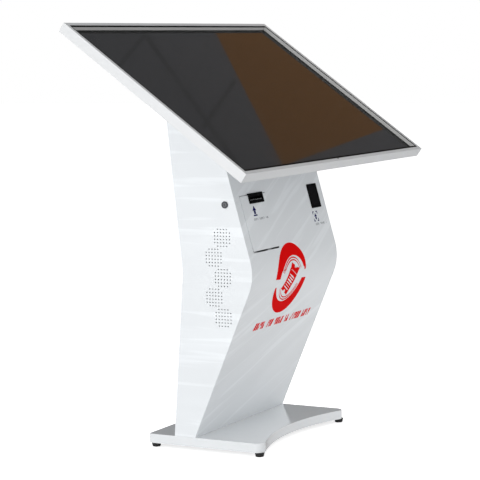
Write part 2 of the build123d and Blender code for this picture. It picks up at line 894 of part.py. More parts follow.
with BuildPart() as rear_box:
    with BuildSketch(head.offset(-rim_depth)):
        RectangleRounded(
            rear_box_width + 2 * box_flange, rear_box_length + 2 * box_flange, box_flange
        )
    extrude(amount=-back_sheet)
    with BuildSketch(head.offset(-rim_depth)):
        Rectangle(rear_box_width, rear_box_length)
    extrude(amount=-rear_box_depth)
    with BuildSketch(head.offset(-rim_depth)):
        Rectangle(rear_box_width - 2 * back_sheet, rear_box_length - 2 * back_sheet)
    extrude(amount=back_sheet - rear_box_depth, mode=Mode.SUBTRACT)
    with BuildSketch(head.offset(-rim_depth)):
        with Locations(*box_screw_spots):
            Circle(screw_radius + hole_clearance)
    extrude(amount=-back_sheet, mode=Mode.SUBTRACT)
    with BuildSketch(head.offset(-head_under)):
        with Locations(*head_bolt_spots):
            Circle(bolt_radius + hole_clearance)
        for side in (-1, 1):
            with Locations((side * vent_centre_x, vent_centre_u)):
                with GridLocations(vent_pitch, 1, vent_count, 1):
                    SlotOverall(vent_length, vent_width, rotation=90)
    extrude(amount=back_sheet, mode=Mode.SUBTRACT)
save(rear_box, "rear_box")


def small_screw(plane, grip):
    """Adds a pan-head screw whose head stands on the plane and whose shank goes grip below it."""
    with BuildSketch(plane) as profile:
        Circle(screw_head_radius)
    extrude(profile.sketch, amount=screw_head_height)
    with BuildSketch(plane) as profile:
        Circle(screw_radius)
    extrude(profile.sketch, amount=-grip)


with BuildPart() as small_screws:
    box_seat = head.offset(-rim_depth - back_sheet)
    for x, slope in box_screw_spots:
        spot = box_seat.from_local_coords(Vector(x, slope, 0))
        small_screw(Plane(origin=spot, x_dir=head.x_dir, z_dir=-head.z_dir), 2 * back_sheet)
    guard_seat = rear_face.offset(guard_wire)
    for x, u in fan_hole_spots:
        spot = guard_seat.from_local_coords(Vector(x, u, 0))
        small_screw(
            Plane(origin=spot, x_dir=rear_face.x_dir, z_dir=rear_face.z_dir),
            guard_wire + shell_sheet + fan_depth,
        )
save(small_screws, "small_screws")

rail_depth = rear_box_depth - back_sheet
with BuildPart() as mount_rails:
    with BuildSketch(head.offset(-rim_depth)):
        with Locations(*[(side * rail_spread / 2, 0) for side in (-1, 1)]):
            Rectangle(rail_width, rail_length)
    extrude(amount=-rail_depth)
    with BuildSketch(head.offset(-rim_depth - rail_wall)):
        with Locations(*[(side * rail_spread / 2, 0) for side in (-1, 1)]):
            Rectangle(rail_width - 2 * rail_wall, rail_length)
    extrude(amount=2 * rail_wall - rail_depth, mode=Mode.SUBTRACT)
    with BuildSketch(head.offset(-rim_depth - rail_depth)):
        with Locations(*head_bolt_spots):
            Circle(bolt_radius + hole_clearance)
    extrude(amount=rail_wall, mode=Mode.SUBTRACT)
save(mount_rails, "mount_rails")

with BuildPart() as display_board:
    board_face = head.offset(-chassis_top - lcd_chassis_depth)
    with BuildSketch(board_face):
        with GridLocations(board_width - 4 * standoff_radius, board_length - 4 * standoff_radius, 2, 2):
            Circle(standoff_radius)
    extrude(amount=-standoff_height)
    with BuildSketch(board_face.offset(-standoff_height)):
        Rectangle(board_width, board_length)
    extrude(amount=-board_thickness)
    with BuildSketch(board_face.offset(-standoff_height - board_thickness)):
        with Locations((-board_width / 4, 0)):
            Rectangle(chip_side, chip_side)
        with Locations((board_width / 4, 0)):
            with GridLocations(*board_part_pitch, 3, 3):
                Rectangle(board_part_width, board_part_length)
    extrude(amount=-chip_height)
save(display_board, "display_board")


# ---------------------------------------------------------------- ticket door
def on_front(x, u, depth):
    """Point x across, u up the slope and depth mm behind the upper front face."""
    return front_face.from_local_coords(Vector(x, u, -depth))


def front_side_view(x):
    """Plane seen along +X, with local x up the slope and local y out of the upper front face."""
    return Plane(
        origin=on_front(x, 0, 0), x_dir=front_face.y_dir, z_dir=front_face.x_dir
    )


door_top_u = door_bottom_u + door_height
door_left, door_right = door_centre_x - door_width / 2, door_centre_x + door_width / 2
knuckle_starts = [door_left + knuckle_inset, door_right - knuckle_inset - 2 * knuckle_length]

with BuildPart() as printer_door:
    with BuildSketch(front_face.offset(door_proud)):
        with Locations((door_centre_x, door_bottom_u)):
            Rectangle(door_width, door_height, align=(Align.CENTER, Align.MIN))
    extrude(amount=-shell_sheet)
    with BuildSketch(front_face.offset(door_proud - shell_sheet)):
        flange_height = door_top_u - hinge_u - 2 * knuckle_radius
        for edge_x, edge_align in ((door_left, Align.MIN), (door_right, Align.MAX)):
            with Locations((edge_x, door_top_u)):
                Rectangle(door_flange_sheet, flange_height, align=(edge_align, Align.MAX))
        with Locations((door_centre_x, door_top_u)):
            Rectangle(door_width, door_flange_sheet, align=(Align.CENTER, Align.MAX))
    extrude(amount=shell_sheet - door_proud - door_flange)
    for start in knuckle_starts:
        with BuildSketch(front_side_view(start + knuckle_length + knuckle_gap)):
            with Locations((hinge_u, -hinge_set_back)):
                Circle(knuckle_radius)
            with Locations((hinge_u, door_proud - shell_sheet)):
                Rectangle(
                    knuckle_radius,
                    hinge_set_back + door_proud - shell_sheet,
                    align=(Align.CENTER, Align.MAX),
                )
            with Locations((hinge_u, -hinge_set_back)):
                Circle(hinge_pin_radius + running_gap, mode=Mode.SUBTRACT)
        extrude(amount=knuckle_length - knuckle_gap)
    with BuildSketch(front_face.offset(door_proud)):
        with Locations((mouth_centre_x, slot_u)):
            Rectangle(spout_width + 2 * hole_clearance, spout_height + 2 * hole_clearance)
    extrude(amount=-shell_sheet, mode=Mode.SUBTRACT)
save(printer_door, "printer_door")

with BuildPart() as hinge_leaf:
    foot_span = knuckle_starts[1] + knuckle_length - knuckle_starts[0]
    with BuildSketch(front_side_view(knuckle_starts[0])):
        with Locations((leaf_foot_u, -shell_sheet)):
            Rectangle(
                leaf_foot_height,
                hinge_set_back + knuckle_radius - shell_sheet,
                align=(Align.MIN, Align.MAX),
            )
    extrude(amount=foot_span)
    for start in knuckle_starts:
        with BuildSketch(front_side_view(start)):
            with Locations((leaf_foot_u, -hinge_set_back - knuckle_radius)):
                Rectangle(hinge_u - leaf_foot_u, leaf_sheet, align=(Align.MIN, Align.MIN))
            with Locations((hinge_u, -hinge_set_back)):
                Circle(knuckle_radius)
                Circle(hinge_pin_radius + running_gap, mode=Mode.SUBTRACT)
        extrude(amount=knuckle_length)
save(hinge_leaf, "hinge_leaf")

with BuildPart() as hinge_pins:
    for start in knuckle_starts:
        with BuildSketch(front_side_view(start - knuckle_gap)):
            with Locations((hinge_u, -hinge_set_back)):
                Circle(hinge_pin_radius)
        extrude(amount=2 * (knuckle_length + knuckle_gap))
save(hinge_pins, "hinge_pins")

mouth_top_u = door_top_u + mouth_overhang
with BuildPart() as ticket_mouth:
    with BuildSketch(front_face):
        with Locations((mouth_centre_x, mouth_top_u)):
            Rectangle(mouth_width, mouth_height, align=(Align.CENTER, Align.MAX))
    extrude(amount=mouth_thickness)
    fillet(ticket_mouth.edges().filter_by(Axis((0, 0, 0), front_face.z_dir)), mouth_corner_radius)
    front_edges = ticket_mouth.faces().sort_by(Axis((0, 0, 0), front_face.z_dir))[-1].edges()
    fillet(front_edges, mouth_edge_radius)
    with BuildSketch(front_face):
        with Locations((mouth_centre_x, mouth_top_u)):
            Rectangle(mouth_width, mouth_height, align=(Align.CENTER, Align.MAX))
    extrude(amount=shell_gap, mode=Mode.SUBTRACT)
    with BuildSketch(front_face):
        with Locations((mouth_centre_x, door_top_u + hole_clearance)):
            Rectangle(mouth_width, mouth_height, align=(Align.CENTER, Align.MAX))
    extrude(amount=door_proud, mode=Mode.SUBTRACT)
    with BuildSketch(front_face.offset(door_proud)):
        with Locations((mouth_centre_x, slot_u)):
            Rectangle(spout_width, spout_height)
    extrude(amount=-spout_depth - door_proud)
    with BuildSketch(front_face.offset(-spout_depth)):
        with Locations((mouth_centre_x, slot_u)):
            Rectangle(slot_width, slot_height)
    extrude(amount=spout_depth + mouth_thickness, mode=Mode.SUBTRACT)
save(ticket_mouth, "ticket_mouth")

with BuildPart() as door_magnet:
    with BuildSketch(front_side_view(door_right - magnet_inset)):
        with Locations((opening_top + magnet_lap, -shell_sheet)):
            Rectangle(magnet_height, magnet_depth, align=(Align.MIN, Align.MAX))
        with Locations((opening_top + magnet_lap, -door_flange - shell_gap)):
            Rectangle(
                magnet_height,
                magnet_depth + shell_sheet - door_flange - shell_gap,
                align=(Align.MAX, Align.MAX),
            )
    extrude(amount=-magnet_width)
save(door_magnet, "door_magnet")


# ---------------------------------------------------------------- ticket printer
platen_point = on_front(0, slot_u, platen_depth)
platen_centre = (platen_point.Y, platen_point.Z)
pinion_distance = gear_module * (platen_teeth + pinion_teeth) / 2
motor_centre = (
    platen_centre[0] + pinion_distance * cos(radians(motor_angle)),
    platen_centre[1] + pinion_distance * sin(radians(motor_angle)),
)
printer_half = paper_width / 2 + printer_clearance
printer_left = mouth_centre_x - printer_half
printer_right = mouth_centre_x + printer_half
printer_floor = front_post_top + shelf_sheet


def cylinder_x(centre, start_x, length, radius, bore=0.0):
    """Adds a round bar or tube along X, centred on (y, z)."""
    with BuildSketch(Plane.YZ.offset(start_x)) as profile:
        with Locations(centre):
            Circle(radius)
            if bore:
                Circle(bore, mode=Mode.SUBTRACT)
    extrude(profile.sketch, amount=length)


with BuildPart() as printer_frame:
    top_z = platen_centre[1] + printer_head_room
    front_lean = [(front_y(z, printer_front_inset), z) for z in (printer_floor, top_z)]
    for start_x in (printer_left - printer_side_sheet, printer_right):
        with BuildSketch(Plane.YZ.offset(start_x)):
            with BuildLine():
                Polyline(
                    front_lean[0],
                    front_lean[1],
                    (motor_centre[0] + motor_radius, top_z),
                    (roll_centre[0] + paper_roll_radius / 2, roll_centre[1] + paper_roll_radius / 2),
                    (roll_centre[0] + paper_roll_radius / 2, printer_floor),
                    close=True,
                )
            make_face()
            with Locations(roll_centre):
                Circle(spindle_radius + running_gap, mode=Mode.SUBTRACT)
            with Locations(platen_centre):
                Circle(platen_shaft_radius + running_gap, mode=Mode.SUBTRACT)
            with Locations(motor_centre):
                Circle(pinion_shaft_radius + 1, mode=Mode.SUBTRACT)
        extrude(amount=printer_side_sheet)
    with BuildSketch(Plane.XY.offset(printer_floor)):
        with Locations((mouth_centre_x, front_lean[0][0])):
            Rectangle(
                2 * printer_half,
                roll_centre[0] + paper_roll_radius / 2 - front_lean[0][0],
                align=(Align.CENTER, Align.MIN),
            )
    extrude(amount=printer_side_sheet)
save(printer_frame, "printer_frame")

paper_start = mouth_centre_x - paper_width / 2
with BuildPart() as paper_roll:
    cylinder_x(roll_centre, paper_start, paper_width, paper_roll_radius, roll_core_radius)
save(paper_roll, "paper_roll")

with BuildPart() as roll_core:
    cylinder_x(
        roll_centre,
        paper_start,
        paper_width,
        roll_core_radius,
        spindle_radius + running_gap,
    )
save(roll_core, "roll_core")

with BuildPart() as roll_spindle:
    cylinder_x(
        roll_centre,
        printer_left - printer_side_sheet - spindle_tail,
        2 * (printer_half + printer_side_sheet + spindle_tail),
        spindle_radius,
    )
    for stop_x in (printer_left, printer_right - spindle_stop):
        cylinder_x(roll_centre, stop_x + spindle_stop / 4, spindle_stop / 2, roll_core_radius)
save(roll_spindle, "roll_spindle")

gear_start = printer_right + printer_side_sheet + gear_gap
with BuildPart() as platen_roller:
    cylinder_x(platen_centre, paper_start, paper_width, platen_radius, platen_shaft_radius)
save(platen_roller, "platen_roller")


def gear(centre, teeth, turn):
    """Adds a spur gear along X, centred on (y, z) and turned by an angle in degrees."""
    with BuildSketch(Plane.YZ.offset(gear_start)) as profile:
        with Locations(Location((centre[0], centre[1]), turn)):
            add(gear_outline(teeth))
    extrude(profile.sketch, amount=gear_width)


with BuildPart() as platen_gear:
    gear(platen_centre, platen_teeth, motor_angle)
    cylinder_x(
        platen_centre,
        printer_left - printer_side_sheet,
        gear_start + gear_width - printer_left + printer_side_sheet,
        platen_shaft_radius,
    )
save(platen_gear, "platen_gear")

with BuildPart() as motor_pinion:
    gear(motor_centre, pinion_teeth, motor_angle + 180 + 180 / pinion_teeth)
    cylinder_x(
        motor_centre,
        printer_right - motor_length / 2,
        gear_start + gear_width - printer_right + motor_length / 2,
        pinion_shaft_radius,
    )
save(motor_pinion, "motor_pinion")

with BuildPart() as feed_motor:
    cylinder_x(motor_centre, printer_right - motor_length, motor_length, motor_radius)
    with BuildSketch(Plane.YZ.offset(printer_right)):
        with Locations(motor_centre):
            Circle(pinion_shaft_radius + running_gap)
    extrude(amount=-motor_length / 2 - gear_gap, mode=Mode.SUBTRACT)
save(feed_motor, "feed_motor")


with BuildPart() as print_head:
    with BuildSketch(front_side_view(printer_left)):
        with Locations((slot_u + platen_radius + paper_gap, -platen_depth)):
            Rectangle(print_head_height, print_head_depth, align=(Align.MIN, Align.CENTER))
    extrude(amount=2 * printer_half)
save(print_head, "print_head")

with BuildPart() as paper_cutter:
    with BuildSketch(front_side_view(printer_left)):
        with Locations((slot_u, -printer_front_inset)):
            Rectangle(cutter_height, cutter_depth, align=(Align.CENTER, Align.MAX))
    extrude(amount=2 * printer_half)
    with BuildSketch(front_face.offset(-printer_front_inset)):
        with Locations((mouth_centre_x, slot_u)):
            Rectangle(paper_width + 2, cutter_slit)
    extrude(amount=-cutter_depth, mode=Mode.SUBTRACT)
save(paper_cutter, "paper_cutter")


# ---------------------------------------------------------------- code scanner
scanner_spot = (scanner_centre_x, scanner_centre_u)
throat_depth = shell_sheet + scanner_collar
with BuildPart() as scanner_bezel:
    with BuildSketch(front_face):
        with Locations(scanner_spot):
            RectangleRounded(scanner_width, scanner_height, scanner_corner)
    extrude(amount=scanner_proud)
    with BuildSketch(front_face):
        with Locations(scanner_spot):
            Rectangle(
                scanner_throat_width - 2 * hole_clearance, scanner_throat_height - 2 * hole_clearance
            )
    extrude(amount=-throat_depth)
    with BuildSketch(front_face.offset(-throat_depth)):
        with Locations(scanner_spot):
            Rectangle(scanner_sight_width, scanner_sight_height)
    extrude(amount=throat_depth + scanner_proud, mode=Mode.SUBTRACT)
save(scanner_bezel, "scanner_bezel")

with BuildPart() as scanner_window:
    with BuildSketch(front_face.offset(scanner_proud - scanner_window_sink)):
        with Locations(scanner_spot):
            Rectangle(
                scanner_sight_width - 2 * hole_clearance, scanner_sight_height - 2 * hole_clearance
            )
    extrude(amount=-scanner_glass)
save(scanner_window, "scanner_window")

with BuildPart() as scanner_housing:
    with BuildSketch(front_face.offset(-throat_depth)):
        with Locations(scanner_spot):
            Rectangle(scanner_width, scanner_height)
            Rectangle(scanner_sight_width, scanner_sight_height, mode=Mode.SUBTRACT)
    extrude(amount=-scanner_body_depth)
    with BuildSketch(front_face.offset(-throat_depth - scanner_body_depth)):
        with Locations(scanner_spot):
            Rectangle(scanner_width, scanner_height)
    extrude(amount=-shell_sheet)
save(scanner_housing, "scanner_housing")

with BuildPart() as scanner_camera:
    camera_plane = front_face.offset(-throat_depth - scanner_body_depth)
    with BuildSketch(camera_plane):
        with Locations(scanner_spot):
            Rectangle(scanner_sight_width - 2, scanner_sight_height - 2)
    extrude(amount=board_thickness)
    with BuildSketch(camera_plane.offset(board_thickness)):
        with Locations(scanner_spot):
            Circle(camera_lens_radius)
    extrude(amount=camera_lens_length)
save(scanner_camera, "scanner_camera")


# ---------------------------------------------------------------- cam lock
with BuildPart() as lock_body:
    cylinder_x(lock_centre, -shell_half - lock_flange, lock_flange, lock_flange_radius)
    cylinder_x(lock_centre, -shell_half, lock_barrel_length, lock_barrel_radius)
    with BuildSketch(Plane.YZ.offset(-shell_half - lock_flange)):
        with Locations(lock_centre):
            Circle(lock_plug_radius + running_gap)
    extrude(amount=lock_flange + lock_barrel_length, mode=Mode.SUBTRACT)
save(lock_body, "lock_body")

with BuildPart() as lock_nut:
    with BuildSketch(Plane.YZ.offset(shell_sheet - shell_half)):
        with Locations(lock_centre):
            RegularPolygon(lock_nut_radius, 6)
            Circle(lock_barrel_radius + hole_clearance, mode=Mode.SUBTRACT)
    extrude(amount=lock_nut_thickness)
save(lock_nut, "lock_nut")

cam_start = lock_barrel_length - shell_half + cam_gap
with BuildPart() as lock_plug:
    cylinder_x(
        lock_centre,
        -shell_half - lock_flange,
        cam_start + shell_half + lock_flange,
        lock_plug_radius,
    )
    with BuildSketch(Plane.YZ.offset(-shell_half - lock_flange)):
        with Locations(lock_centre):
            Rectangle(key_slot_width, key_slot_height)
    extrude(amount=key_slot_depth, mode=Mode.SUBTRACT)
save(lock_plug, "lock_plug")

with BuildPart() as lock_cam:
    with BuildSketch(Plane.YZ.offset(cam_start)):
        with Locations(lock_centre):
            Circle(cam_width / 2)
            Rectangle(cam_length, cam_width, align=(Align.MAX, Align.CENTER))
    extrude(amount=cam_thickness)
    with BuildSketch(Plane.YZ.offset(cam_start + cam_thickness)):
        with Locations(lock_centre):
            RegularPolygon(cam_width / 2 - cam_nut_inset, 6)
    extrude(amount=cam_thickness)
save(lock_cam, "lock_cam")

keeper_x = cam_start - cam_gap - shell_sheet
with BuildPart() as lock_keeper:
    keeper_height = (lock_centre[1] - cam_width, lock_centre[1] + cam_width)
    keeper_front = shell_sheet + panel_clearance
    with BuildSketch(Plane.YZ.offset(keeper_x)):
        with BuildLine():
            Polyline(
                *[(front_y(z, keeper_front), z) for z in keeper_height],
                *[(front_y(z, keeper_front + keeper_reach), z) for z in reversed(keeper_height)],
                close=True,
            )
        make_face()
    extrude(amount=shell_sheet)
    with BuildSketch(Plane.YZ.offset(shell_sheet - inner_half)):
        with BuildLine():
            Polyline(
                *[(front_y(z, keeper_front), z) for z in keeper_height],
                *[(front_y(z, keeper_front + shell_sheet), z) for z in reversed(keeper_height)],
                close=True,
            )
        make_face()
    extrude(amount=keeper_x + inner_half)
save(lock_keeper, "lock_keeper")


# ---------------------------------------------------------------- equipment inside
speaker_spot = (cluster_y(speaker_cluster), cluster_top[1] - speaker_cluster * cluster_step)
with BuildPart() as speakers:
    for side in (-1, 1):
        basket_x = side * (shell_half - shell_sheet - shell_gap)
        for reach, radius in speaker_steps:
            with BuildSketch(Plane.YZ.offset(basket_x)):
                with Locations(speaker_spot):
                    Circle(radius)
            extrude(amount=-side * reach)
        with BuildSketch(Plane.YZ.offset(basket_x)):
            with Locations(speaker_spot):
                Circle(speaker_cone_radius)
        extrude(amount=-side * speaker_cone_depth, taper=45, mode=Mode.SUBTRACT)
save(speakers, "speakers")

equipment_floor = equipment_shelf_height + shelf_sheet
with BuildPart() as mini_computer:
    with BuildSketch(Plane.XY.offset(equipment_floor)):
        with Locations((-computer_width / 2 - equipment_gap, 0)):
            RectangleRounded(computer_width, computer_length, computer_corner)
    extrude(amount=computer_height)
    fin_top = Plane.XY.offset(equipment_floor + computer_height)
    with BuildSketch(fin_top):
        with Locations((-computer_width / 2 - equipment_gap, 0)):
            with GridLocations(fin_pitch, 1, fin_count, 1):
                Rectangle(fin_pitch / 2, computer_length - 2 * computer_corner)
    extrude(amount=-fin_depth, mode=Mode.SUBTRACT)
save(mini_computer, "mini_computer")

with BuildPart() as power_supply:
    with BuildSketch(Plane.XY.offset(equipment_floor)):
        with Locations((equipment_gap, 0)):
            Rectangle(supply_width, supply_length, align=(Align.MIN, Align.CENTER))
    extrude(amount=supply_height)
    with BuildSketch(Plane.XY.offset(equipment_floor)):
        with Locations((equipment_gap + supply_width, 0)):
            Rectangle(terminal_width, supply_length, align=(Align.MIN, Align.CENTER))
    extrude(amount=supply_height / 2)
save(power_supply, "power_supply")

with BuildPart() as fan_frame:
    with BuildSketch(rear_face.offset(-shell_sheet)):
        with Locations((0, fan_height_u)):
            RectangleRounded(fan_size, fan_size, fan_corner)
            Circle(fan_bore_radius, mode=Mode.SUBTRACT)
        with Locations(*fan_hole_spots):
            Circle(fan_screw_radius + hole_clearance, mode=Mode.SUBTRACT)
    extrude(amount=-fan_depth)
    with BuildSketch(rear_face.offset(-shell_sheet - fan_depth)):
        with Locations((0, fan_height_u)):
            Circle(fan_hub_radius)
            Rectangle(2 * fan_bore_radius + 2, fan_spoke_width)
            Rectangle(fan_spoke_width, 2 * fan_bore_radius + 2)
    extrude(amount=fan_spider)
save(fan_frame, "fan_frame")

rotor_back = rear_face.offset(fan_spider + fan_rotor_gap - shell_sheet - fan_depth)
rotor_depth = fan_depth - fan_spider - 2 * fan_rotor_gap
with BuildPart() as fan_rotor:
    with BuildSketch(rotor_back):
        with Locations((0, fan_height_u)):
            Circle(fan_hub_radius)
    extrude(amount=rotor_depth)
    hub_centre = rotor_back.offset(rotor_depth / 2).from_local_coords(Vector(0, fan_height_u, 0))
    rotor_frame = Plane(origin=hub_centre, x_dir=rear_face.x_dir, z_dir=rear_face.z_dir)
    blade_reach = fan_bore_radius - fan_blade_gap - fan_hub_radius
    for blade in range(fan_blades):
        spoke = turned(rotor_frame, 360 * blade / fan_blades)
        root = spoke.from_local_coords(Vector(fan_hub_radius - fan_blade_sheet, 0, 0))
        pitched = turned(Plane(origin=root, x_dir=spoke.y_dir, z_dir=spoke.x_dir), fan_blade_pitch)
        with BuildSketch(pitched):
            Rectangle(fan_blade_chord, fan_blade_sheet)
        extrude(amount=blade_reach)
save(fan_rotor, "fan_rotor")

with BuildPart() as fan_guard:
    with BuildSketch(rear_face):
        with Locations((0, fan_height_u)):
            for ring in range(1, guard_rings + 1):
                ring_radius = fan_guard_radius * ring / guard_rings
                Circle(ring_radius)
                Circle(ring_radius - guard_wire, mode=Mode.SUBTRACT)
            for turn in guard_arm_turns:
                Rectangle(fan_screw_pitch * sqrt(2) + 2 * screw_head_radius, guard_wire, rotation=turn)
        with Locations(*fan_hole_spots):
            Circle(screw_head_radius + guard_wire)
            Circle(fan_screw_radius + hole_clearance, mode=Mode.SUBTRACT)
    extrude(amount=guard_wire)
save(fan_guard, "fan_guard")

# ---------------------------------------------------------------- power inlet with its switch
rocker_spot = (rocker_offset_x, inlet_u)
with BuildPart() as power_inlet:
    with BuildSketch(rear_lower_face):
        with Locations((0, inlet_u)):
            RectangleRounded(inlet_width, inlet_height, inlet_corner)
    extrude(amount=inlet_flange)
    with BuildSketch(rear_lower_face):
        with Locations((0, inlet_u)):
            Rectangle(inlet_body_width, inlet_body_height)
    extrude(amount=-inlet_body_depth)
    with BuildSketch(rear_lower_face.offset(inlet_flange)):
        with Locations((inlet_socket_x, inlet_u)):
            Rectangle(inlet_socket_width, inlet_socket_height)
    extrude(amount=-inlet_flange - inlet_socket_depth, mode=Mode.SUBTRACT)
    with BuildSketch(rear_lower_face.offset(inlet_flange)):
        with Locations(rocker_spot):
            Rectangle(rocker_width + 2 * rocker_gap, rocker_well)
    extrude(amount=-inlet_flange - rocker_well_depth, mode=Mode.SUBTRACT)
    with BuildSketch(rear_lower_face.offset(-inlet_socket_depth)):
        with Locations((inlet_socket_x, inlet_u + pin_rise)):
            Rectangle(pin_thickness, pin_height)
        for pin_side in (-1, 1):
            with Locations((inlet_socket_x + pin_side * pin_spread, inlet_u - pin_rise)):
                Rectangle(pin_thickness, pin_height)
    extrude(amount=inlet_socket_depth - pin_recess)
save(power_inlet, "power_inlet")

rocker_pivot = rear_lower_face.from_local_coords(Vector(*rocker_spot, -rocker_pivot_depth))
rocker_side_view = Plane(
    origin=rocker_pivot, x_dir=rear_lower_face.y_dir, z_dir=rear_lower_face.x_dir
)
rocker_plane = turned(rocker_side_view, rocker_tilt)
with BuildPart() as power_switch:
    with BuildSketch(rocker_plane):
        with BuildLine():
            Polyline(
                (-rocker_height / 2, rocker_rise),
                (0, rocker_rise - rocker_dip),
                (rocker_height / 2, rocker_rise),
                (rocker_height / 2 - 2, -2),
                (2 - rocker_height / 2, -2),
                close=True,
            )
        make_face()
    extrude(amount=rocker_width / 2, both=True)
save(power_switch, "power_switch")

with BuildPart() as network_socket:
    with BuildSketch(rear_lower_face.offset(socket_proud)):
        with Locations((socket_offset_x, inlet_u)):
            Rectangle(socket_width, socket_height)
    extrude(amount=-socket_proud - socket_depth)
    with BuildSketch(rear_lower_face.offset(socket_proud)):
        with Locations((socket_offset_x, inlet_u)):
            Rectangle(socket_width - 2 * socket_wall, socket_height - 2 * socket_wall)
    extrude(amount=socket_wall - socket_proud - socket_depth, mode=Mode.SUBTRACT)
save(network_socket, "network_socket")
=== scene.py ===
"""Ticket vending kiosk: finishes, printed graphics, fittings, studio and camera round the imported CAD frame.

Everything is in metres in the frame's own axes: +Z up, the user stands on the -Y side, +X is the user's right.
"""

import logging
import math
from dataclasses import dataclass, field
from enum import Enum
from typing import Iterable, Sequence

import bmesh
import bpy
from mathutils import Matrix, Vector
from mathutils.bvhtree import BVHTree
from mathutils.geometry import delaunay_2d_cdt


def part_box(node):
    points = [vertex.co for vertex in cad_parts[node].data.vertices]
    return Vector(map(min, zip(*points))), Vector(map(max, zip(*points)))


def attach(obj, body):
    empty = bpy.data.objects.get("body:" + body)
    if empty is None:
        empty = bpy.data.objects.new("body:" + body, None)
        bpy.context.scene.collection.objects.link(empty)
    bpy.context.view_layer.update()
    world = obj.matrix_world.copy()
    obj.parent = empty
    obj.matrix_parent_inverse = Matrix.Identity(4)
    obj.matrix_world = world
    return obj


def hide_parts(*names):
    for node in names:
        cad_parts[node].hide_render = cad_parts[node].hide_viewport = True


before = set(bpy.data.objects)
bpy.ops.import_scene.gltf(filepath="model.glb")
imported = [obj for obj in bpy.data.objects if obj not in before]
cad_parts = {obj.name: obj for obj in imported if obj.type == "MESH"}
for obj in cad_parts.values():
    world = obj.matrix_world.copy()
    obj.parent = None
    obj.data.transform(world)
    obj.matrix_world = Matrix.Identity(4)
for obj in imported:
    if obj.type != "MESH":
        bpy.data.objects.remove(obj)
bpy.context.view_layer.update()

LOG = logging.getLogger("kiosk")
MM = 0.001
HEAD_TILT = 36.0  # degrees from level
HEAD_SLOPE = Vector((0.0, math.cos(math.radians(HEAD_TILT)), math.sin(math.radians(HEAD_TILT))))
HEAD_OUT = Vector((0.0, -math.sin(math.radians(HEAD_TILT)), math.cos(math.radians(HEAD_TILT))))
PANEL_LEAN = 15.6  # of the upper front face from upright, in degrees
REAR_LEAN = 5.8  # of the upper rear face from upright, in degrees
# Painted shade on the touch frame: a black band on its top face stands for the shadow gap under the rim lip, and a
# dark grey paints its mirror image in the glass darker.
GAP_SHADE_BAND_DEPTH = 0.0004
PAINTED_GAP_SHADOW = (0.004, 0.004, 0.004)
PAINTED_REFLECTION_SHADE = (0.16, 0.16, 0.16)
DUST_COLOUR = (0.55, 0.54, 0.52)
RING_COLOUR = (0.55, 0.53, 0.5)
RINGS_PER_METRE = 260.0
SWEEP_GAIN = 1.15  # how much lighter than its coat a soft sweep is
SWEEP_TILT = 23  # of the sweeps from level, in degrees
Colour = tuple[float, float, float]
Outline = list[tuple[float, float]]
Shape = tuple[list[Vector], list[list[int]]]


def leaning(lean: float) -> tuple[Vector, Vector]:
    """Directions of a face that leans away from the user.

    Args:
        lean: Its lean from upright in degrees.

    Returns:
        The way up along the face and the way out of it towards the user.
    """
    angle = math.radians(lean)
    return Vector((0.0, math.sin(angle), math.cos(angle))), Vector((0.0, -math.cos(angle), math.sin(angle)))


class Body(Enum):
    """The rigid bodies that carry a piece made here."""

    CABINET = "cabinet"
    DOOR = "printer_door"


class Pattern(Enum):
    """How a finish's large-scale tone varies over the surface."""

    PLAIN = "plain"
    WAVES = "waves"
    BRUSHED = "brushed"
    RINGS = "rings"
    # Painted shade: a black band on the touch frame's top face for the shadow gap under the rim lip, and its
    # reflection in the glass painted darker.
    CAPPED = "capped"


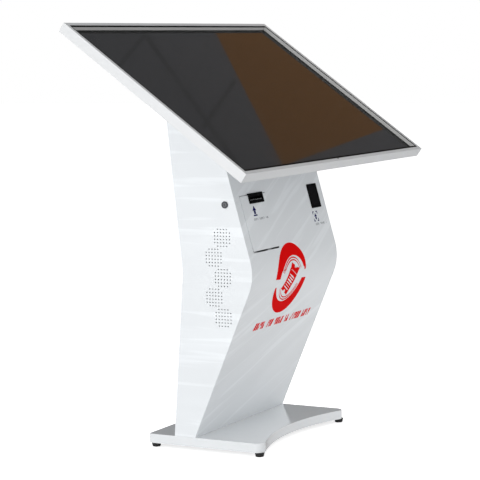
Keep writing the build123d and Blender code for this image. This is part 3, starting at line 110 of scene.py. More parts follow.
# ---------------------------------------------------------------- shader tools
class TreeBuilder:
    """Adds and links nodes in one shader or geometry tree."""

    def __init__(self, tree: bpy.types.NodeTree) -> None:
        """Keeps the tree that the nodes go into.

        Args:
            tree: The node tree.
        """
        self.tree = tree

    def node(self, kind: str, values: dict | None = None, **settings: object) -> bpy.types.Node:
        """Adds a node.

        Args:
            kind: Blender's node type name.
            values: Input sockets by name or number, each with a plain value or the output that feeds it.
            **settings: Properties of the node itself.

        Returns:
            The new node.
        """
        made = self.tree.nodes.new(kind)
        for name, value in settings.items():
            setattr(made, name, value)
        for name, value in (values or {}).items():
            if isinstance(value, bpy.types.NodeSocket):
                self.tree.links.new(value, made.inputs[name])
            else:
                made.inputs[name].default_value = value
        return made

    def mix(self, factor: object, low: object, high: object) -> bpy.types.NodeSocket:
        """Blends two colours.

        Args:
            factor: Number or socket, 0 gives low and 1 gives high.
            low: Colour or socket.
            high: Colour or socket.

        Returns:
            The blended colour's output socket.
        """
        ends = [end if isinstance(end, bpy.types.NodeSocket) else (*end[:3], 1.0) for end in (low, high)]
        return self.node("ShaderNodeMix", {0: factor, 6: ends[0], 7: ends[1]}, data_type="RGBA").outputs[2]

    def maths(self, operation: str, *values: object) -> bpy.types.NodeSocket:
        """Adds a math node.

        Args:
            operation: Blender's name of the operation.
            *values: Numbers or sockets.

        Returns:
            Its output socket.
        """
        return self.node("ShaderNodeMath", dict(enumerate(values)), operation=operation).outputs[0]

    def band(self, value: bpy.types.NodeSocket, low: float, high: float) -> bpy.types.NodeSocket:
        """Maps value smoothly from 0 at low to 1 at high.

        Args:
            value: The socket to map.
            low: Value that gives 0.
            high: Value that gives 1.

        Returns:
            The mapped output socket.
        """
        limits = {"Value": value, "From Min": low, "From Max": high}
        return self.node("ShaderNodeMapRange", limits, interpolation_type="SMOOTHSTEP").outputs["Result"]

    def noise(
        self, place: bpy.types.NodeSocket, scale: object, detail: float, **more: float
    ) -> bpy.types.NodeSocket:
        """Adds a noise texture.

        Args:
            place: The coordinates.
            scale: Its scale, a number or a socket.
            detail: Its detail.
            **more: Its other inputs, in lower case.

        Returns:
            The noise's value.
        """
        values = {"Vector": place, "Scale": scale, "Detail": detail}
        values.update({name.capitalize(): value for name, value in more.items()})
        return self.node("ShaderNodeTexNoise", values).outputs["Fac"]

    def toned(self, colour: bpy.types.NodeSocket, gain: bpy.types.NodeSocket) -> bpy.types.NodeSocket:
        """Multiplies a colour by a number.

        Args:
            colour: The colour.
            gain: The number.

        Returns:
            The product.
        """
        return self.node("ShaderNodeVectorMath", {0: colour, "Scale": gain}, operation="SCALE").outputs[0]

    def group(self, tree: bpy.types.NodeTree, values: dict[str, object]) -> bpy.types.Node:
        """Places a shader group.

        Args:
            tree: The group's tree.
            values: Its inputs.

        Returns:
            The group node.
        """
        return self.node("ShaderNodeGroup", values, node_tree=tree)


def new_group(name: str, inputs: dict[str, object], outputs: Sequence[str]) -> tuple[TreeBuilder, dict, dict]:
    """Starts a shader group with named sockets.

    Args:
        name: The group's name.
        inputs: Input names with their default, four numbers for a colour.
        outputs: Output names, where Color is a colour and the rest are numbers.

    Returns:
        The tree's builder, the sockets that bring the inputs and those that take the outputs.
    """
    tree = bpy.data.node_groups.new(name, "ShaderNodeTree")
    for label, default in inputs.items():
        kind = "NodeSocketColor" if isinstance(default, tuple) else "NodeSocketFloat"
        tree.interface.new_socket(label, in_out="INPUT", socket_type=kind).default_value = default
    for label in outputs:
        kind = "NodeSocketColor" if label == "Color" else "NodeSocketFloat"
        tree.interface.new_socket(label, in_out="OUTPUT", socket_type=kind)
    build = TreeBuilder(tree)
    return build, build.node("NodeGroupInput").outputs, build.node("NodeGroupOutput").inputs


class SurfaceGroups:
    """The shader groups that several finishes share, each built once."""

    def __init__(self) -> None:
        """Builds the groups."""
        self.grain = self._grain()
        self.waves = self._waves()
        self.brushed = self._brushed()
        self.dust = self._dust()

    def _grain(self) -> bpy.types.NodeTree:
        """Fine skin of a moulded or sprayed surface with slow changes of tone.

        Returns:
            The group's tree.
        """
        inputs = {
            "Base": (0.8, 0.8, 0.8, 1.0),
            "Tone change": 0.03,
            "Grain size": 900.0,
            "Roughness": 0.4,
            "Roughness change": 0.05,
        }
        build, enter, leave = new_group("Surface grain", inputs, ("Color", "Roughness", "Height"))
        place = build.node("ShaderNodeTexCoord").outputs["Object"]
        fine = build.noise(place, enter["Grain size"], 2.0)
        centred = build.maths("SUBTRACT", build.noise(place, 4.0, 3.0, roughness=0.6), 0.5)
        gain = build.maths("MULTIPLY_ADD", build.maths("MULTIPLY", centred, enter["Tone change"]), 2.0, 1.0)
        shift = build.maths("MULTIPLY", centred, enter["Roughness change"])
        rough = build.maths("MULTIPLY_ADD", shift, 2.0, enter["Roughness"])
        return self._close(build, leave, Color=build.toned(enter["Base"], gain), Roughness=rough, Height=fine)

    def _waves(self) -> bpy.types.NodeTree:
        """Wide and thin soft diagonal sweeps, as in a pale printed film.

        Returns:
            The group's tree.
        """
        inputs = {"Base": (0.8, 0.8, 0.8, 1.0), "Light": (1.0, 1.0, 1.0, 1.0), "Amount": 0.5}
        build, enter, leave = new_group("Soft waves", inputs, ("Color",))
        place = build.node("ShaderNodeTexCoord").outputs["Object"]
        tilt = (0.0, math.radians(SWEEP_TILT), 0.0)
        turned = build.node("ShaderNodeMapping", {"Vector": place, "Rotation": tilt}).outputs[0]
        wide_place = build.node("ShaderNodeMapping", {"Vector": turned, "Scale": (0.9, 0.9, 5.0)}).outputs[0]
        thin_place = build.node("ShaderNodeMapping", {"Vector": turned, "Scale": (0.8, 0.8, 16.0)}).outputs[0]
        wide = build.band(build.noise(wide_place, 1.6, 2.0, distortion=0.4), 0.4, 0.66)
        thin = build.band(build.noise(thin_place, 2.2, 3.0, distortion=0.3), 0.54, 0.64)
        both = build.maths("MULTIPLY_ADD", thin, 0.65, build.maths("MULTIPLY", wide, 0.35))
        share = build.maths("MULTIPLY", both, enter["Amount"])
        return self._close(build, leave, Color=build.mix(share, enter["Base"], enter["Light"]))

    def _brushed(self) -> bpy.types.NodeTree:
        """Drawn lines of rolled or brushed metal along the local X axis.

        Returns:
            The group's tree.
        """
        inputs = {"Base": (0.6, 0.6, 0.6, 1.0), "Contrast": 0.15, "Roughness": 0.3}
        build, enter, leave = new_group("Drawn metal", inputs, ("Color", "Roughness", "Height"))
        place = build.node("ShaderNodeTexCoord").outputs["Object"]
        drawn = build.node("ShaderNodeMapping", {"Vector": place, "Scale": (6.0, 520.0, 520.0)}).outputs[0]
        lines = build.noise(drawn, 1.0, 2.0)
        stain = build.noise(place, 14.0, 3.0)
        mixed = build.maths("MULTIPLY_ADD", stain, 0.5, build.maths("MULTIPLY", lines, 0.5))
        centred = build.maths("SUBTRACT", mixed, 0.5)
        gain = build.maths("MULTIPLY_ADD", build.maths("MULTIPLY", centred, enter["Contrast"]), 2.0, 1.0)
        rough = build.maths("MULTIPLY_ADD", centred, 0.25, enter["Roughness"])
        return self._close(build, leave, Color=build.toned(enter["Base"], gain), Roughness=rough, Height=lines)

    def _dust(self) -> bpy.types.NodeTree:
        """Thin patchy dust that settles where the surface looks up.

        Returns:
            The group's tree.
        """
        build, enter, leave = new_group("Settled dust", {"Amount": 0.1, "Patch size": 9.0}, ("Mask",))
        place = build.node("ShaderNodeTexCoord").outputs["Object"]
        normal = build.node("ShaderNodeNewGeometry").outputs["Normal"]
        upward = build.node("ShaderNodeSeparateXYZ", {0: normal}).outputs["Z"]
        patch = build.band(build.noise(place, enter["Patch size"], 6.0, roughness=0.7), 0.35, 0.75)
        mask = build.maths("MULTIPLY", patch, build.band(upward, 0.3, 1.0))
        return self._close(build, leave, Mask=build.maths("MULTIPLY", mask, enter["Amount"]))

    @staticmethod
    def _close(build: TreeBuilder, leave: dict, **results: bpy.types.NodeSocket) -> bpy.types.NodeTree:
        """Links a group's results.

        Args:
            build: The group's builder.
            leave: The sockets that take the outputs.
            **results: What each output gets.

        Returns:
            The group's tree.
        """
        for name, result in results.items():
            build.tree.links.new(result, leave[name])
        return build.tree


# ---------------------------------------------------------------- finishes
@dataclass(frozen=True)
class Finish:
    """One surface finish.

    Attributes:
        name: The material's name.
        colour: Linear base colour.
        roughness: Mean roughness.
        metallic: 1 for bare metal, 0 for the rest.
        coat: Weight of a clear coat.
        coat_roughness: Roughness of that coat.
        grain: Grains per metre of the fine skin.
        bump: Height of the skin in metres.
        tone_change: Share by which the tone drifts.
        pattern: The large-scale pattern.
        dust: Share of dust on upward faces.
        waves: Strength of the soft waves.
        transmission: 1 for clear glass.
        specular: Specular level.
    """

    name: str
    colour: Colour
    roughness: float = 0.4
    metallic: float = 0.0
    coat: float = 0.0
    coat_roughness: float = 0.1
    grain: float = 900.0
    bump: float = 0.00001
    tone_change: float = 0.02
    pattern: Pattern = Pattern.PLAIN
    dust: float = 0.0
    waves: float = 0.0
    transmission: float = 0.0
    specular: float = 0.5

    def material(self, groups: SurfaceGroups) -> bpy.types.Material:
        """Builds the finish's material.

        Args:
            groups: The shared shader groups.

        Returns:
            The material.
        """
        made = bpy.data.materials.new(self.name)
        made.use_nodes = True
        build = TreeBuilder(made.node_tree)
        inputs = made.node_tree.nodes["Principled BSDF"].inputs
        inputs["Metallic"].default_value = self.metallic
        inputs["Coat Weight"].default_value = self.coat
        inputs["Coat Roughness"].default_value = self.coat_roughness
        inputs["Transmission Weight"].default_value = self.transmission
        inputs["Specular IOR Level"].default_value = self.specular
        values = {"Base": (*self.colour, 1.0), "Roughness": self.roughness}
        if self.pattern is Pattern.BRUSHED:
            skin = build.group(groups.brushed, values)
        else:
            values |= {"Tone change": self.tone_change, "Grain size": self.grain}
            skin = build.group(groups.grain, values)
        colour, height, rough = (skin.outputs[name] for name in ("Color", "Height", "Roughness"))
        if self.pattern is Pattern.WAVES:
            light = tuple(min(1.0, channel * SWEEP_GAIN) for channel in self.colour)
            sweep = {"Base": colour, "Light": (*light, 1.0), "Amount": self.waves}
            colour = build.group(groups.waves, sweep).outputs["Color"]
        if self.pattern is Pattern.RINGS:
            colour, height = self._rings(build, colour)
        # painted shadow and painted reflection shade on the touch frame
        if self.pattern is Pattern.CAPPED:
            colour = self._paint_gap_shadow(build, colour)
        if self.dust:
            dusty = build.group(groups.dust, {"Amount": self.dust}).outputs["Mask"]
            colour = build.mix(dusty, colour, DUST_COLOUR)
            rough = build.maths("MULTIPLY_ADD", dusty, 0.5, rough)
        bump = build.node("ShaderNodeBump", {"Height": height, "Distance": self.bump, "Strength": 1.0})
        for name, socket in (("Base Color", colour), ("Roughness", rough), ("Normal", bump.outputs["Normal"])):
            made.node_tree.links.new(socket, inputs[name])
        return made

    def _rings(
        self, build: TreeBuilder, colour: bpy.types.NodeSocket
    ) -> tuple[bpy.types.NodeSocket, bpy.types.NodeSocket]:
        """Adds the wound layers that show on the ends of a paper roll.

        Args:
            build: The material's builder.
            colour: The colour before the rings.

        Returns:
            The colour and the height with the rings.
        """
        low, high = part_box("paper_roll")
        place = build.node("ShaderNodeTexCoord").outputs["Object"]
        shift = (0.0, -(low[1] + high[1]) / 2, -(low[2] + high[2]) / 2)
        centred = build.node("ShaderNodeMapping", {"Vector": place, "Location": shift}).outputs[0]
        wave = build.node(
            "ShaderNodeTexWave",
            {"Vector": centred, "Scale": RINGS_PER_METRE, "Distortion": 0.6, "Detail": 1.0},
            wave_type="RINGS",
            rings_direction="X",
        ).outputs["Fac"]
        return build.mix(build.maths("MULTIPLY", wave, 0.22), colour, RING_COLOUR), wave

    def _paint_gap_shadow(self, build: TreeBuilder, colour: bpy.types.NodeSocket) -> bpy.types.NodeSocket:
        """Paints shade on the touch frame: its outermost skin black for the shadow gap under the rim lip, and its
        mirror image in the glass a darker grey as painted reflection shade.

        Args:
            build: The material's builder.
            colour: The colour below the painted shade.

        Returns:
            The colour with the painted gap shadow and the darker painted reflection.
        """
        level = max(HEAD_OUT.dot(vertex.co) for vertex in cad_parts["touch_frame"].data.vertices)
        place = build.node("ShaderNodeTexCoord").outputs["Object"]
        rise = build.node("ShaderNodeVectorMath", {0: place, 1: tuple(HEAD_OUT)}, operation="DOT_PRODUCT")
        # band of painted shadow on the top face; glossy rays see a painted darker grey
        gap_shadow_mask = build.band(rise.outputs["Value"], level - GAP_SHADE_BAND_DEPTH, level - GAP_SHADE_BAND_DEPTH / 2)
        mirrored = build.node("ShaderNodeLightPath").outputs["Is Glossy Ray"]
        return build.mix(mirrored, build.mix(gap_shadow_mask, colour, PAINTED_GAP_SHADOW), PAINTED_REFLECTION_SHADE)


class Finishes:
    """All the finishes, and which CAD nodes wear each."""

    PANEL = Finish(
        "Panel white coat", (0.79, 0.82, 0.845), 0.36, coat=0.2, coat_roughness=0.2, grain=1500.0,
        bump=0.000012, tone_change=0.015, pattern=Pattern.WAVES, waves=0.8,
    )
    HEAD = Finish(
        "Head white coat", (0.70, 0.712, 0.725), 0.36, coat=0.2, coat_roughness=0.2, grain=1500.0,
        bump=0.000012, tone_change=0.02, dust=0.05,
    )
    BASE = Finish(
        "Base gloss lacquer", (0.80, 0.825, 0.845), 0.16, coat=1.0, coat_roughness=0.05, grain=700.0,
        bump=0.000004, tone_change=0.02, dust=0.12,
    )
    ZINC = Finish("Zinc plated sheet", (0.58, 0.59, 0.61), 0.36, 1.0, pattern=Pattern.BRUSHED, bump=0.000004)
    ALUMINIUM = Finish(
        "Satin aluminium", (0.60, 0.61, 0.62), 0.34, 1.0, pattern=Pattern.BRUSHED, bump=0.000003,
    )
    STEEL = Finish(
        "Bright drawn steel", (0.46, 0.46, 0.47), 0.24, 1.0, pattern=Pattern.BRUSHED, bump=0.000004,
    )
    CHROME = Finish("Bright plated wire", (0.72, 0.73, 0.75), 0.14, 1.0, grain=400.0, bump=0.000002)
    LOCK = Finish("Dark nickel", (0.045, 0.048, 0.055), 0.3, 0.8, grain=900.0, bump=0.000004, tone_change=0.1)
    LOCK_PLUG = Finish("Worn nickel", (0.09, 0.095, 0.10), 0.26, 1.0, pattern=Pattern.BRUSHED, bump=0.000004)
    RUBBER = Finish("Black rubber", (0.018, 0.018, 0.019), 0.72, grain=2200.0, bump=0.00002, dust=0.1)
    BLACK = Finish(
        "Textured black plastic", (0.0025, 0.0025, 0.003), 0.5, grain=2600.0, bump=0.00002, specular=0.02,
    )
    # the frame's top band is painted black as the shadow gap under the rim lip, and its reflections are painted
    # darker
    TOUCH_FRAME = Finish(
        "Silver painted frame", (0.62, 0.62, 0.615), 0.5, grain=2000.0, bump=0.000006, tone_change=0.04,
        pattern=Pattern.CAPPED, specular=0.05,
    )
    WINDOW = Finish(
        "Dark filter window", (0.002, 0.002, 0.003), 0.1, grain=300.0, bump=0.000001, specular=0.12,
    )
    SCREEN = Finish(
        "Dark display cell", (0.004, 0.0042, 0.0045), 0.3, grain=300.0, bump=0.000001,
        tone_change=0.1, specular=0.1,
    )
    GLASS = Finish("Toughened glass", (0.97, 0.98, 0.98), 0.015, grain=30.0, bump=0.0, transmission=1.0)
    BOARD = Finish("Green laminate", (0.02, 0.13, 0.05), 0.4, coat=0.4, grain=1200.0, bump=0.00002)
    PAPER = Finish("Thermal paper", (0.84, 0.84, 0.82), 0.62, bump=0.00003, pattern=Pattern.RINGS)
    CORE = Finish("Wound card core", (0.36, 0.26, 0.16), 0.8, grain=600.0, bump=0.00004, tone_change=0.1)
    RED = Finish(
        "Red print", (0.76, 0.001, 0.0015), 0.6, grain=900.0, bump=0.000004, tone_change=0.03, specular=0.02,
    )
    NAVY = Finish("Navy print", (0.006, 0.006, 0.10), 0.6, grain=900.0, bump=0.000004, specular=0.04)
    GREY = Finish("Grey print", (0.11, 0.12, 0.15), 0.34, coat=0.2, grain=900.0, bump=0.000004)

    WEARERS: dict[str, tuple[str, ...]] = {
        "PANEL": ("side_panel_left", "side_panel_right", "front_panel", "rear_panel", "printer_door"),
        "HEAD": ("rim_front", "rim_back", "rim_left", "rim_right", "display_back", "rear_box"),
        "BASE": ("base_pan",),
        "ZINC": (
            "ballast_plate", "frame_bolts", "small_screws", "end_plates", "frame_posts", "inner_shelves",
            "panel_clips", "mount_rails", "hinge_leaf", "hinge_pins", "lock_keeper", "printer_frame",
            "roll_spindle",
        ),
        "ALUMINIUM": ("backlight_unit", "mini_computer", "power_supply"),
        "STEEL": ("feed_motor", "motor_pinion", "platen_gear"),
        "CHROME": ("fan_guard",),
        "LOCK": ("lock_body", "lock_nut"),
        "LOCK_PLUG": ("lock_plug", "lock_cam"),
        "RUBBER": ("rubber_feet", "platen_roller"),
        "BLACK": (
            "lcd_bezel", "receiver_window", "ticket_mouth", "scanner_bezel", "scanner_housing",
            "scanner_camera", "fan_frame", "fan_rotor", "power_inlet", "power_switch", "network_socket",
            "print_head", "paper_cutter", "door_magnet", "speakers",
        ),
        "TOUCH_FRAME": ("touch_frame",),
        "WINDOW": ("scanner_window",),
        "SCREEN": ("lcd_cell",),
        "GLASS": ("touch_glass",),
        "BOARD": ("display_board",),
        "PAPER": ("paper_roll",),
        "CORE": ("roll_core",),
    }

    def __init__(self) -> None:
        """Builds the shared groups and starts with no material made."""
        self.groups = SurfaceGroups()
        self._made: dict[str, bpy.types.Material] = {}

    def get(self, finish: Finish) -> bpy.types.Material:
        """The finish's material, built on its first use.

        Args:
            finish: The finish wanted.

        Returns:
            Its material.
        """
        if finish.name not in self._made:
            self._made[finish.name] = finish.material(self.groups)
        return self._made[finish.name]

    def dress_nodes(self) -> None:
        """Gives every CAD node its finish through its own material slots."""
        for label, wearers in self.WEARERS.items():
            material = self.get(getattr(self, label))
            for name in wearers:
                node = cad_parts[name]
                if not node.material_slots:
                    node.data.materials.append(material)
                for slot in node.material_slots:
                    slot.material = material
        LOG.info("dressed %d nodes", sum(len(names) for names in self.WEARERS.values()))


# ---------------------------------------------------------------- mesh tools
def mesh_piece(
    name: str, vertices: Sequence[Vector], faces: Sequence[Sequence[int]], material: bpy.types.Material
) -> bpy.types.Object:
    """Makes an object from points and faces in the frame's metres.

    Args:
        name: The piece's name.
        vertices: Its points.
        faces: Its faces, as point numbers.
        material: Its material.

    Returns:
        The object, linked to the scene.
    """
    mesh = bpy.data.meshes.new(name)
    mesh.from_pydata([tuple(point) for point in vertices], [], [tuple(face) for face in faces])
    mesh.materials.append(material)
    mesh.update()
    piece = bpy.data.objects.new(name, mesh)
    bpy.context.scene.collection.objects.link(piece)
    return piece


def tidy_normals(piece: bpy.types.Object, merge: float = 1e-6) -> None:
    """Merges doubled points and turns every face outwards.

    Args:
        piece: The object to tidy.
        merge: Distance in metres under which points join.
    """
    shell = bmesh.new()
    shell.from_mesh(piece.data)
    bmesh.ops.remove_doubles(shell, verts=shell.verts, dist=merge)
    bmesh.ops.recalc_face_normals(shell, faces=shell.faces)
    shell.to_mesh(piece.data)
    shell.free()


def smooth(piece: bpy.types.Object, angle: float = 35.0) -> None:
    """Shades a mesh smooth but for edges sharper than an angle.

    Args:
        piece: The object.
        angle: The angle in degrees.
    """
    piece.data.shade_smooth()
    piece.data.set_sharp_from_angle(angle=math.radians(angle))


def report(piece: bpy.types.Object, body: Body) -> None:
    """Rides a finished piece on its body and logs it.

    Args:
        piece: The object.
        body: The body that carries it.
    """
    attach(piece, body.value)
    LOG.info("%s: %d faces on %s", piece.name, len(piece.data.polygons), body.value)


def lathe(
    profile: Sequence[tuple[float, float]], centre: Vector, axis: Vector, segments: int
) -> Shape:
    """Spins a closed outline of (radius, height) points round an axis.

    Args:
        profile: Points that start and end on the axis, or that close on themselves.
        centre: The point of height 0 on the axis.
        axis: The direction of height.
        segments: Number of steps round.

    Returns:
        The points and the faces.
    """
    turn = axis.to_track_quat("Z", "Y").to_matrix()
    points: list[Vector] = []
    for step in range(segments):
        angle = 2 * math.pi * step / segments
        for radius, height in profile:
            points.append(centre + turn @ Vector((radius * math.cos(angle), radius * math.sin(angle), height)))
    count = len(profile)
    closed = profile[0][0] > 1e-9
    faces = []
    for step in range(segments):
        here, there = step * count, (step + 1) % segments * count
        for index in range(count if closed else count - 1):
            after = (index + 1) % count
            faces.append([here + index, there + index, there + after, here + after])
    return points, faces


def joined(shapes: Iterable[Shape]) -> Shape:
    """Joins shapes into one.

    Args:
        shapes: Points and faces of each.

    Returns:
        The points and faces of them all.
    """
    points: list[Vector] = []
    faces: list[list[int]] = []
    for more, sides in shapes:
        base = len(points)
        points += more
        faces += [[base + i for i in side] for side in sides]
    return points, faces


class Surface:
    """The outer skin of a CAD node, for laying prints and screws on it."""

    def __init__(self, node: str) -> None:
        """Reads the node's mesh.

        Args:
            node: The CAD node's name.
        """
        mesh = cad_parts[node].data
        corners = [vertex.co.copy() for vertex in mesh.vertices]
        self.tree = BVHTree.FromPolygons(corners, [list(face.vertices) for face in mesh.polygons])

    def hit(self, start: Vector, direction: Vector) -> tuple[Vector, Vector] | None:
        """The first point of the skin along a ray.

        Args:
            start: Where the ray starts.
            direction: Where it goes.

        Returns:
            The point and the outward normal, or None where the ray misses.
        """
        point, normal, _, _ = self.tree.ray_cast(start, direction)
        if point is None:
            return None
        if normal.dot(direction) > 0:
            normal = -normal
        return point, normal


# ---------------------------------------------------------------- geometry nodes
class NodeTool:
    """Geometry Nodes trees with named inputs, each built once and applied to plain meshes."""

    def __init__(self) -> None:
        """Builds the trees."""
        self.scatter_tree = self._scatter()
        self.rings_tree = self._rings()

    @staticmethod
    def _start(name: str, inputs: dict[str, tuple[str, object]]) -> tuple[TreeBuilder, dict[str, str], dict]:
        """Starts a tree with a geometry input, named inputs and a geometry output.

        Args:
            name: The tree's name.
            inputs: Input names with socket type and default, None where it has none.

        Returns:
            The tree's builder, the identifier of each named input, and the sockets that bring them.
        """
        tree = bpy.data.node_groups.new(name, "GeometryNodeTree")
        tree.interface.new_socket("Geometry", in_out="INPUT", socket_type="NodeSocketGeometry")
        tree.interface.new_socket("Geometry", in_out="OUTPUT", socket_type="NodeSocketGeometry")
        keys = {}
        for label, (kind, default) in inputs.items():
            socket = tree.interface.new_socket(label, in_out="INPUT", socket_type=kind)
            if default is not None:
                socket.default_value = default
            keys[label] = socket.identifier
        build = TreeBuilder(tree)
        return build, keys, build.node("NodeGroupInput").outputs

    @staticmethod
    def _end(
        build: TreeBuilder, shape: bpy.types.NodeSocket, finish: bpy.types.NodeSocket
    ) -> bpy.types.NodeTree:
        """Realizes the instances, gives them their finish and closes the tree.

        Args:
            build: The tree's builder.
            shape: The geometry.
            finish: The material.

        Returns:
            The tree.
        """
        real = build.node("GeometryNodeRealizeInstances", {"Geometry": shape}).outputs[0]
        paint = build.node("GeometryNodeSetMaterial", {"Geometry": real, "Material": finish}).outputs[0]
        build.node("NodeGroupOutput", {"Geometry": paint})
        return build.tree

    def _scatter(self) -> tuple[bpy.types.NodeTree, dict[str, str]]:
        """A tree that stands a copy of one shape on each point, along the point's own normal.

        Returns:
            The tree and its input identifiers.
        """
        inputs = {
            "Shape": ("NodeSocketObject", None),
            "Size": ("NodeSocketFloat", 1.0),
            "Finish": ("NodeSocketMaterial", None),
        }
        build, keys, enter = self._start("Copies on points", inputs)
        shape = build.node("GeometryNodeObjectInfo", {"Object": enter["Shape"]}).outputs["Geometry"]
        stand = build.node("GeometryNodeInputNamedAttribute", {"Name": "stand"}, data_type="FLOAT_VECTOR")
        turn = build.node("FunctionNodeAlignRotationToVector", {"Vector": stand.outputs["Attribute"]}, axis="Z")
        copies = build.node(
            "GeometryNodeInstanceOnPoints",
            {
                "Points": enter["Geometry"],
                "Instance": shape,
                "Rotation": turn.outputs["Rotation"],
                "Scale": enter["Size"],
            },
        )
        return self._end(build, copies.outputs["Instances"], enter["Finish"]), keys

    def _rings(self) -> tuple[bpy.types.NodeTree, dict[str, str]]:
        """A tree of evenly spaced round wire rings in the local XY plane, moved to a centre.

        Returns:
            The tree and its input identifiers.
        """
        inputs = {
            "Rings": ("NodeSocketInt", 4),
            "Spacing": ("NodeSocketFloat", 0.009),
            "Wire": ("NodeSocketFloat", 0.001),
            "Centre": ("NodeSocketVector", (0.0, 0.0, 0.0)),
            "Turn": ("NodeSocketVector", (0.0, 0.0, 0.0)),
            "Finish": ("NodeSocketMaterial", None),
        }
        build, keys, enter = self._start("Wire rings", inputs)
        seeds = build.node("GeometryNodeMeshLine", {"Offset": (0.0, 0.0, 0.0), "Count": enter["Rings"]})
        circle = build.node("GeometryNodeCurvePrimitiveCircle", {"Resolution": 64, "Radius": 1.0})
        number = build.maths("ADD", build.node("GeometryNodeInputIndex").outputs[0], 1.0)
        radius = build.maths("MULTIPLY", number, enter["Spacing"])
        copies = build.node(
            "GeometryNodeInstanceOnPoints",
            {"Points": seeds.outputs["Mesh"], "Instance": circle.outputs["Curve"], "Scale": radius},
        )
        real = build.node("GeometryNodeRealizeInstances", {"Geometry": copies.outputs["Instances"]}).outputs[0]
        section = build.node("GeometryNodeCurvePrimitiveCircle", {"Resolution": 10, "Radius": enter["Wire"]})
        tube = build.node("GeometryNodeCurveToMesh", {"Curve": real, "Profile Curve": section.outputs["Curve"]})
        placed_tube = build.node(
            "GeometryNodeTransform",
            {"Geometry": tube.outputs["Mesh"], "Translation": enter["Centre"], "Rotation": enter["Turn"]},
        )
        return self._end(build, placed_tube.outputs["Geometry"], enter["Finish"]), keys

    @staticmethod
    def _apply(
        name: str,
        seed: bpy.types.Mesh,
        tool: tuple[bpy.types.NodeTree, dict[str, str]],
        values: dict[str, object],
    ) -> bpy.types.Object:
        """Runs a tree once and keeps its result as a plain mesh.

        Args:
            name: The piece's name.
            seed: The mesh that the tree starts from.
            tool: The tree and its input identifiers.
            values: The named inputs.

        Returns:
            The finished object.
        """
        tree, keys = tool
        maker = bpy.data.objects.new(name + "_maker", seed)
        bpy.context.scene.collection.objects.link(maker)
        modifier = maker.modifiers.new("tree", "NODES")
        modifier.node_group = tree
        for label, value in values.items():
            modifier[keys[label]] = value
        maker.update_tag()
        bpy.context.view_layer.update()
        graph = bpy.context.evaluated_depsgraph_get()
        mesh = bpy.data.meshes.new_from_object(maker.evaluated_get(graph), depsgraph=graph)
        mesh.name = name
        bpy.data.objects.remove(maker)
        piece = bpy.data.objects.new(name, mesh)
        bpy.context.scene.collection.objects.link(piece)
        return piece

    def scatter(
        self,
        name: str,
        spots: Iterable[tuple[Vector, Vector]],
        shape: Shape,
        material: bpy.types.Material,
        size: float = 1.0,
    ) -> bpy.types.Object:
        """Stands copies of one small shape on points.

        Args:
            name: The piece's name.
            spots: Points with the direction in which each copy stands.
            shape: Points and faces of the shape, standing along +Z at the origin.
            material: Its material.
            size: Scale of the copies.

        Returns:
            The finished object.
        """
        places = list(spots)
        seed = bpy.data.meshes.new(name + "_points")
        seed.from_pydata([tuple(point) for point, _ in places], [], [])
        stand = seed.attributes.new("stand", "FLOAT_VECTOR", "POINT")
        for index, (_, direction) in enumerate(places):
            stand.data[index].vector = direction
        sample = mesh_piece(name + "_shape", shape[0], shape[1], material)
        tidy_normals(sample)
        values = {"Shape": sample, "Size": size, "Finish": material}
        piece = self._apply(name, seed, self.scatter_tree, values)
        bpy.data.objects.remove(sample)
        smooth(piece)
        return piece

    def rings(self, name: str, values: dict[str, object]) -> bpy.types.Object:
        """Makes a set of wire rings.

        Args:
            name: The piece's name.
            values: The tree's named inputs.

        Returns:
            The finished object.
        """
        seed = bpy.data.meshes.new(name + "_seed")
        piece = self._apply(name, seed, self.rings_tree, values)
        smooth(piece, 60.0)
        return piece


# ---------------------------------------------------------------- printed graphics
def arc(
    centre: tuple[float, float], radii: tuple[float, float], start: float, end: float, steps: int
) -> Outline:
    """Points of an elliptic arc.

    Args:
        centre: Its centre.
        radii: Its half axes.
        start: First angle in degrees.
        end: Last angle in degrees.
        steps: Number of steps.

    Returns:
        The points in order.
    """
    points = []
    for step in range(steps + 1):
        angle = math.radians(start + (end - start) * step / steps)
        points.append((centre[0] + radii[0] * math.cos(angle), centre[1] + radii[1] * math.sin(angle)))
    return points


def rounded(width: float, height: float, radius: float, centre: tuple[float, float] = (0.0, 0.0)) -> Outline:
    """A rounded rectangle.

    Args:
        width: Full width.
        height: Full height.
        radius: Corner radius.
        centre: Its centre.

    Returns:
        The outline.
    """
    points: Outline = []
    for index, (sx, sy) in enumerate(((1, 1), (-1, 1), (-1, -1), (1, -1))):
        middle = (centre[0] + sx * (width / 2 - radius), centre[1] + sy * (height / 2 - radius))
        points += arc(middle, (radius, radius), 90 * index, 90 * index + 90, 5)
    return points


def swoosh(
    radii: tuple[float, float], start: float, end: float, thickness: float, steps: int = 44
) -> Outline:
    """A stroke along an elliptic arc that swells from a point and ends blunt.

    Args:
        radii: Half axes of the stroke's middle line.
        start: Angle of the pointed end in degrees.
        end: Angle of the blunt end in degrees.
        thickness: Full thickness where it is widest.
        steps: Steps along the stroke.

    Returns:
        The outline.
    """
    outer: Outline = []
    inner: Outline = []
    for step in range(steps + 1):
        share = step / steps
        angle = math.radians(start + (end - start) * share)
        half = thickness / 2 * math.sin(math.pi * min(1.0, 0.04 + 0.74 * share)) ** 0.8
        outer.append(((radii[0] + half) * math.cos(angle), (radii[1] + half) * math.sin(angle)))
        inner.append(((radii[0] - half) * math.cos(angle), (radii[1] - half) * math.sin(angle)))
    return outer + inner[::-1]


def placed(
    outline: Outline, turn: float = 0.0, shift: tuple[float, float] = (0.0, 0.0), slant: float = 0.0
) -> Outline:
    """Slants, turns and then moves an outline.

    Args:
        outline: The outline.
        turn: Angle in degrees.
        shift: Move after the turn.
        slant: Sideways shear per unit of height.

    Returns:
        The placed outline.
    """
    c, s = math.cos(math.radians(turn)), math.sin(math.radians(turn))
    sheared = [(x + slant * y, y) for x, y in outline]
    return [(shift[0] + c * x - s * y, shift[1] + s * x + c * y) for x, y in sheared]


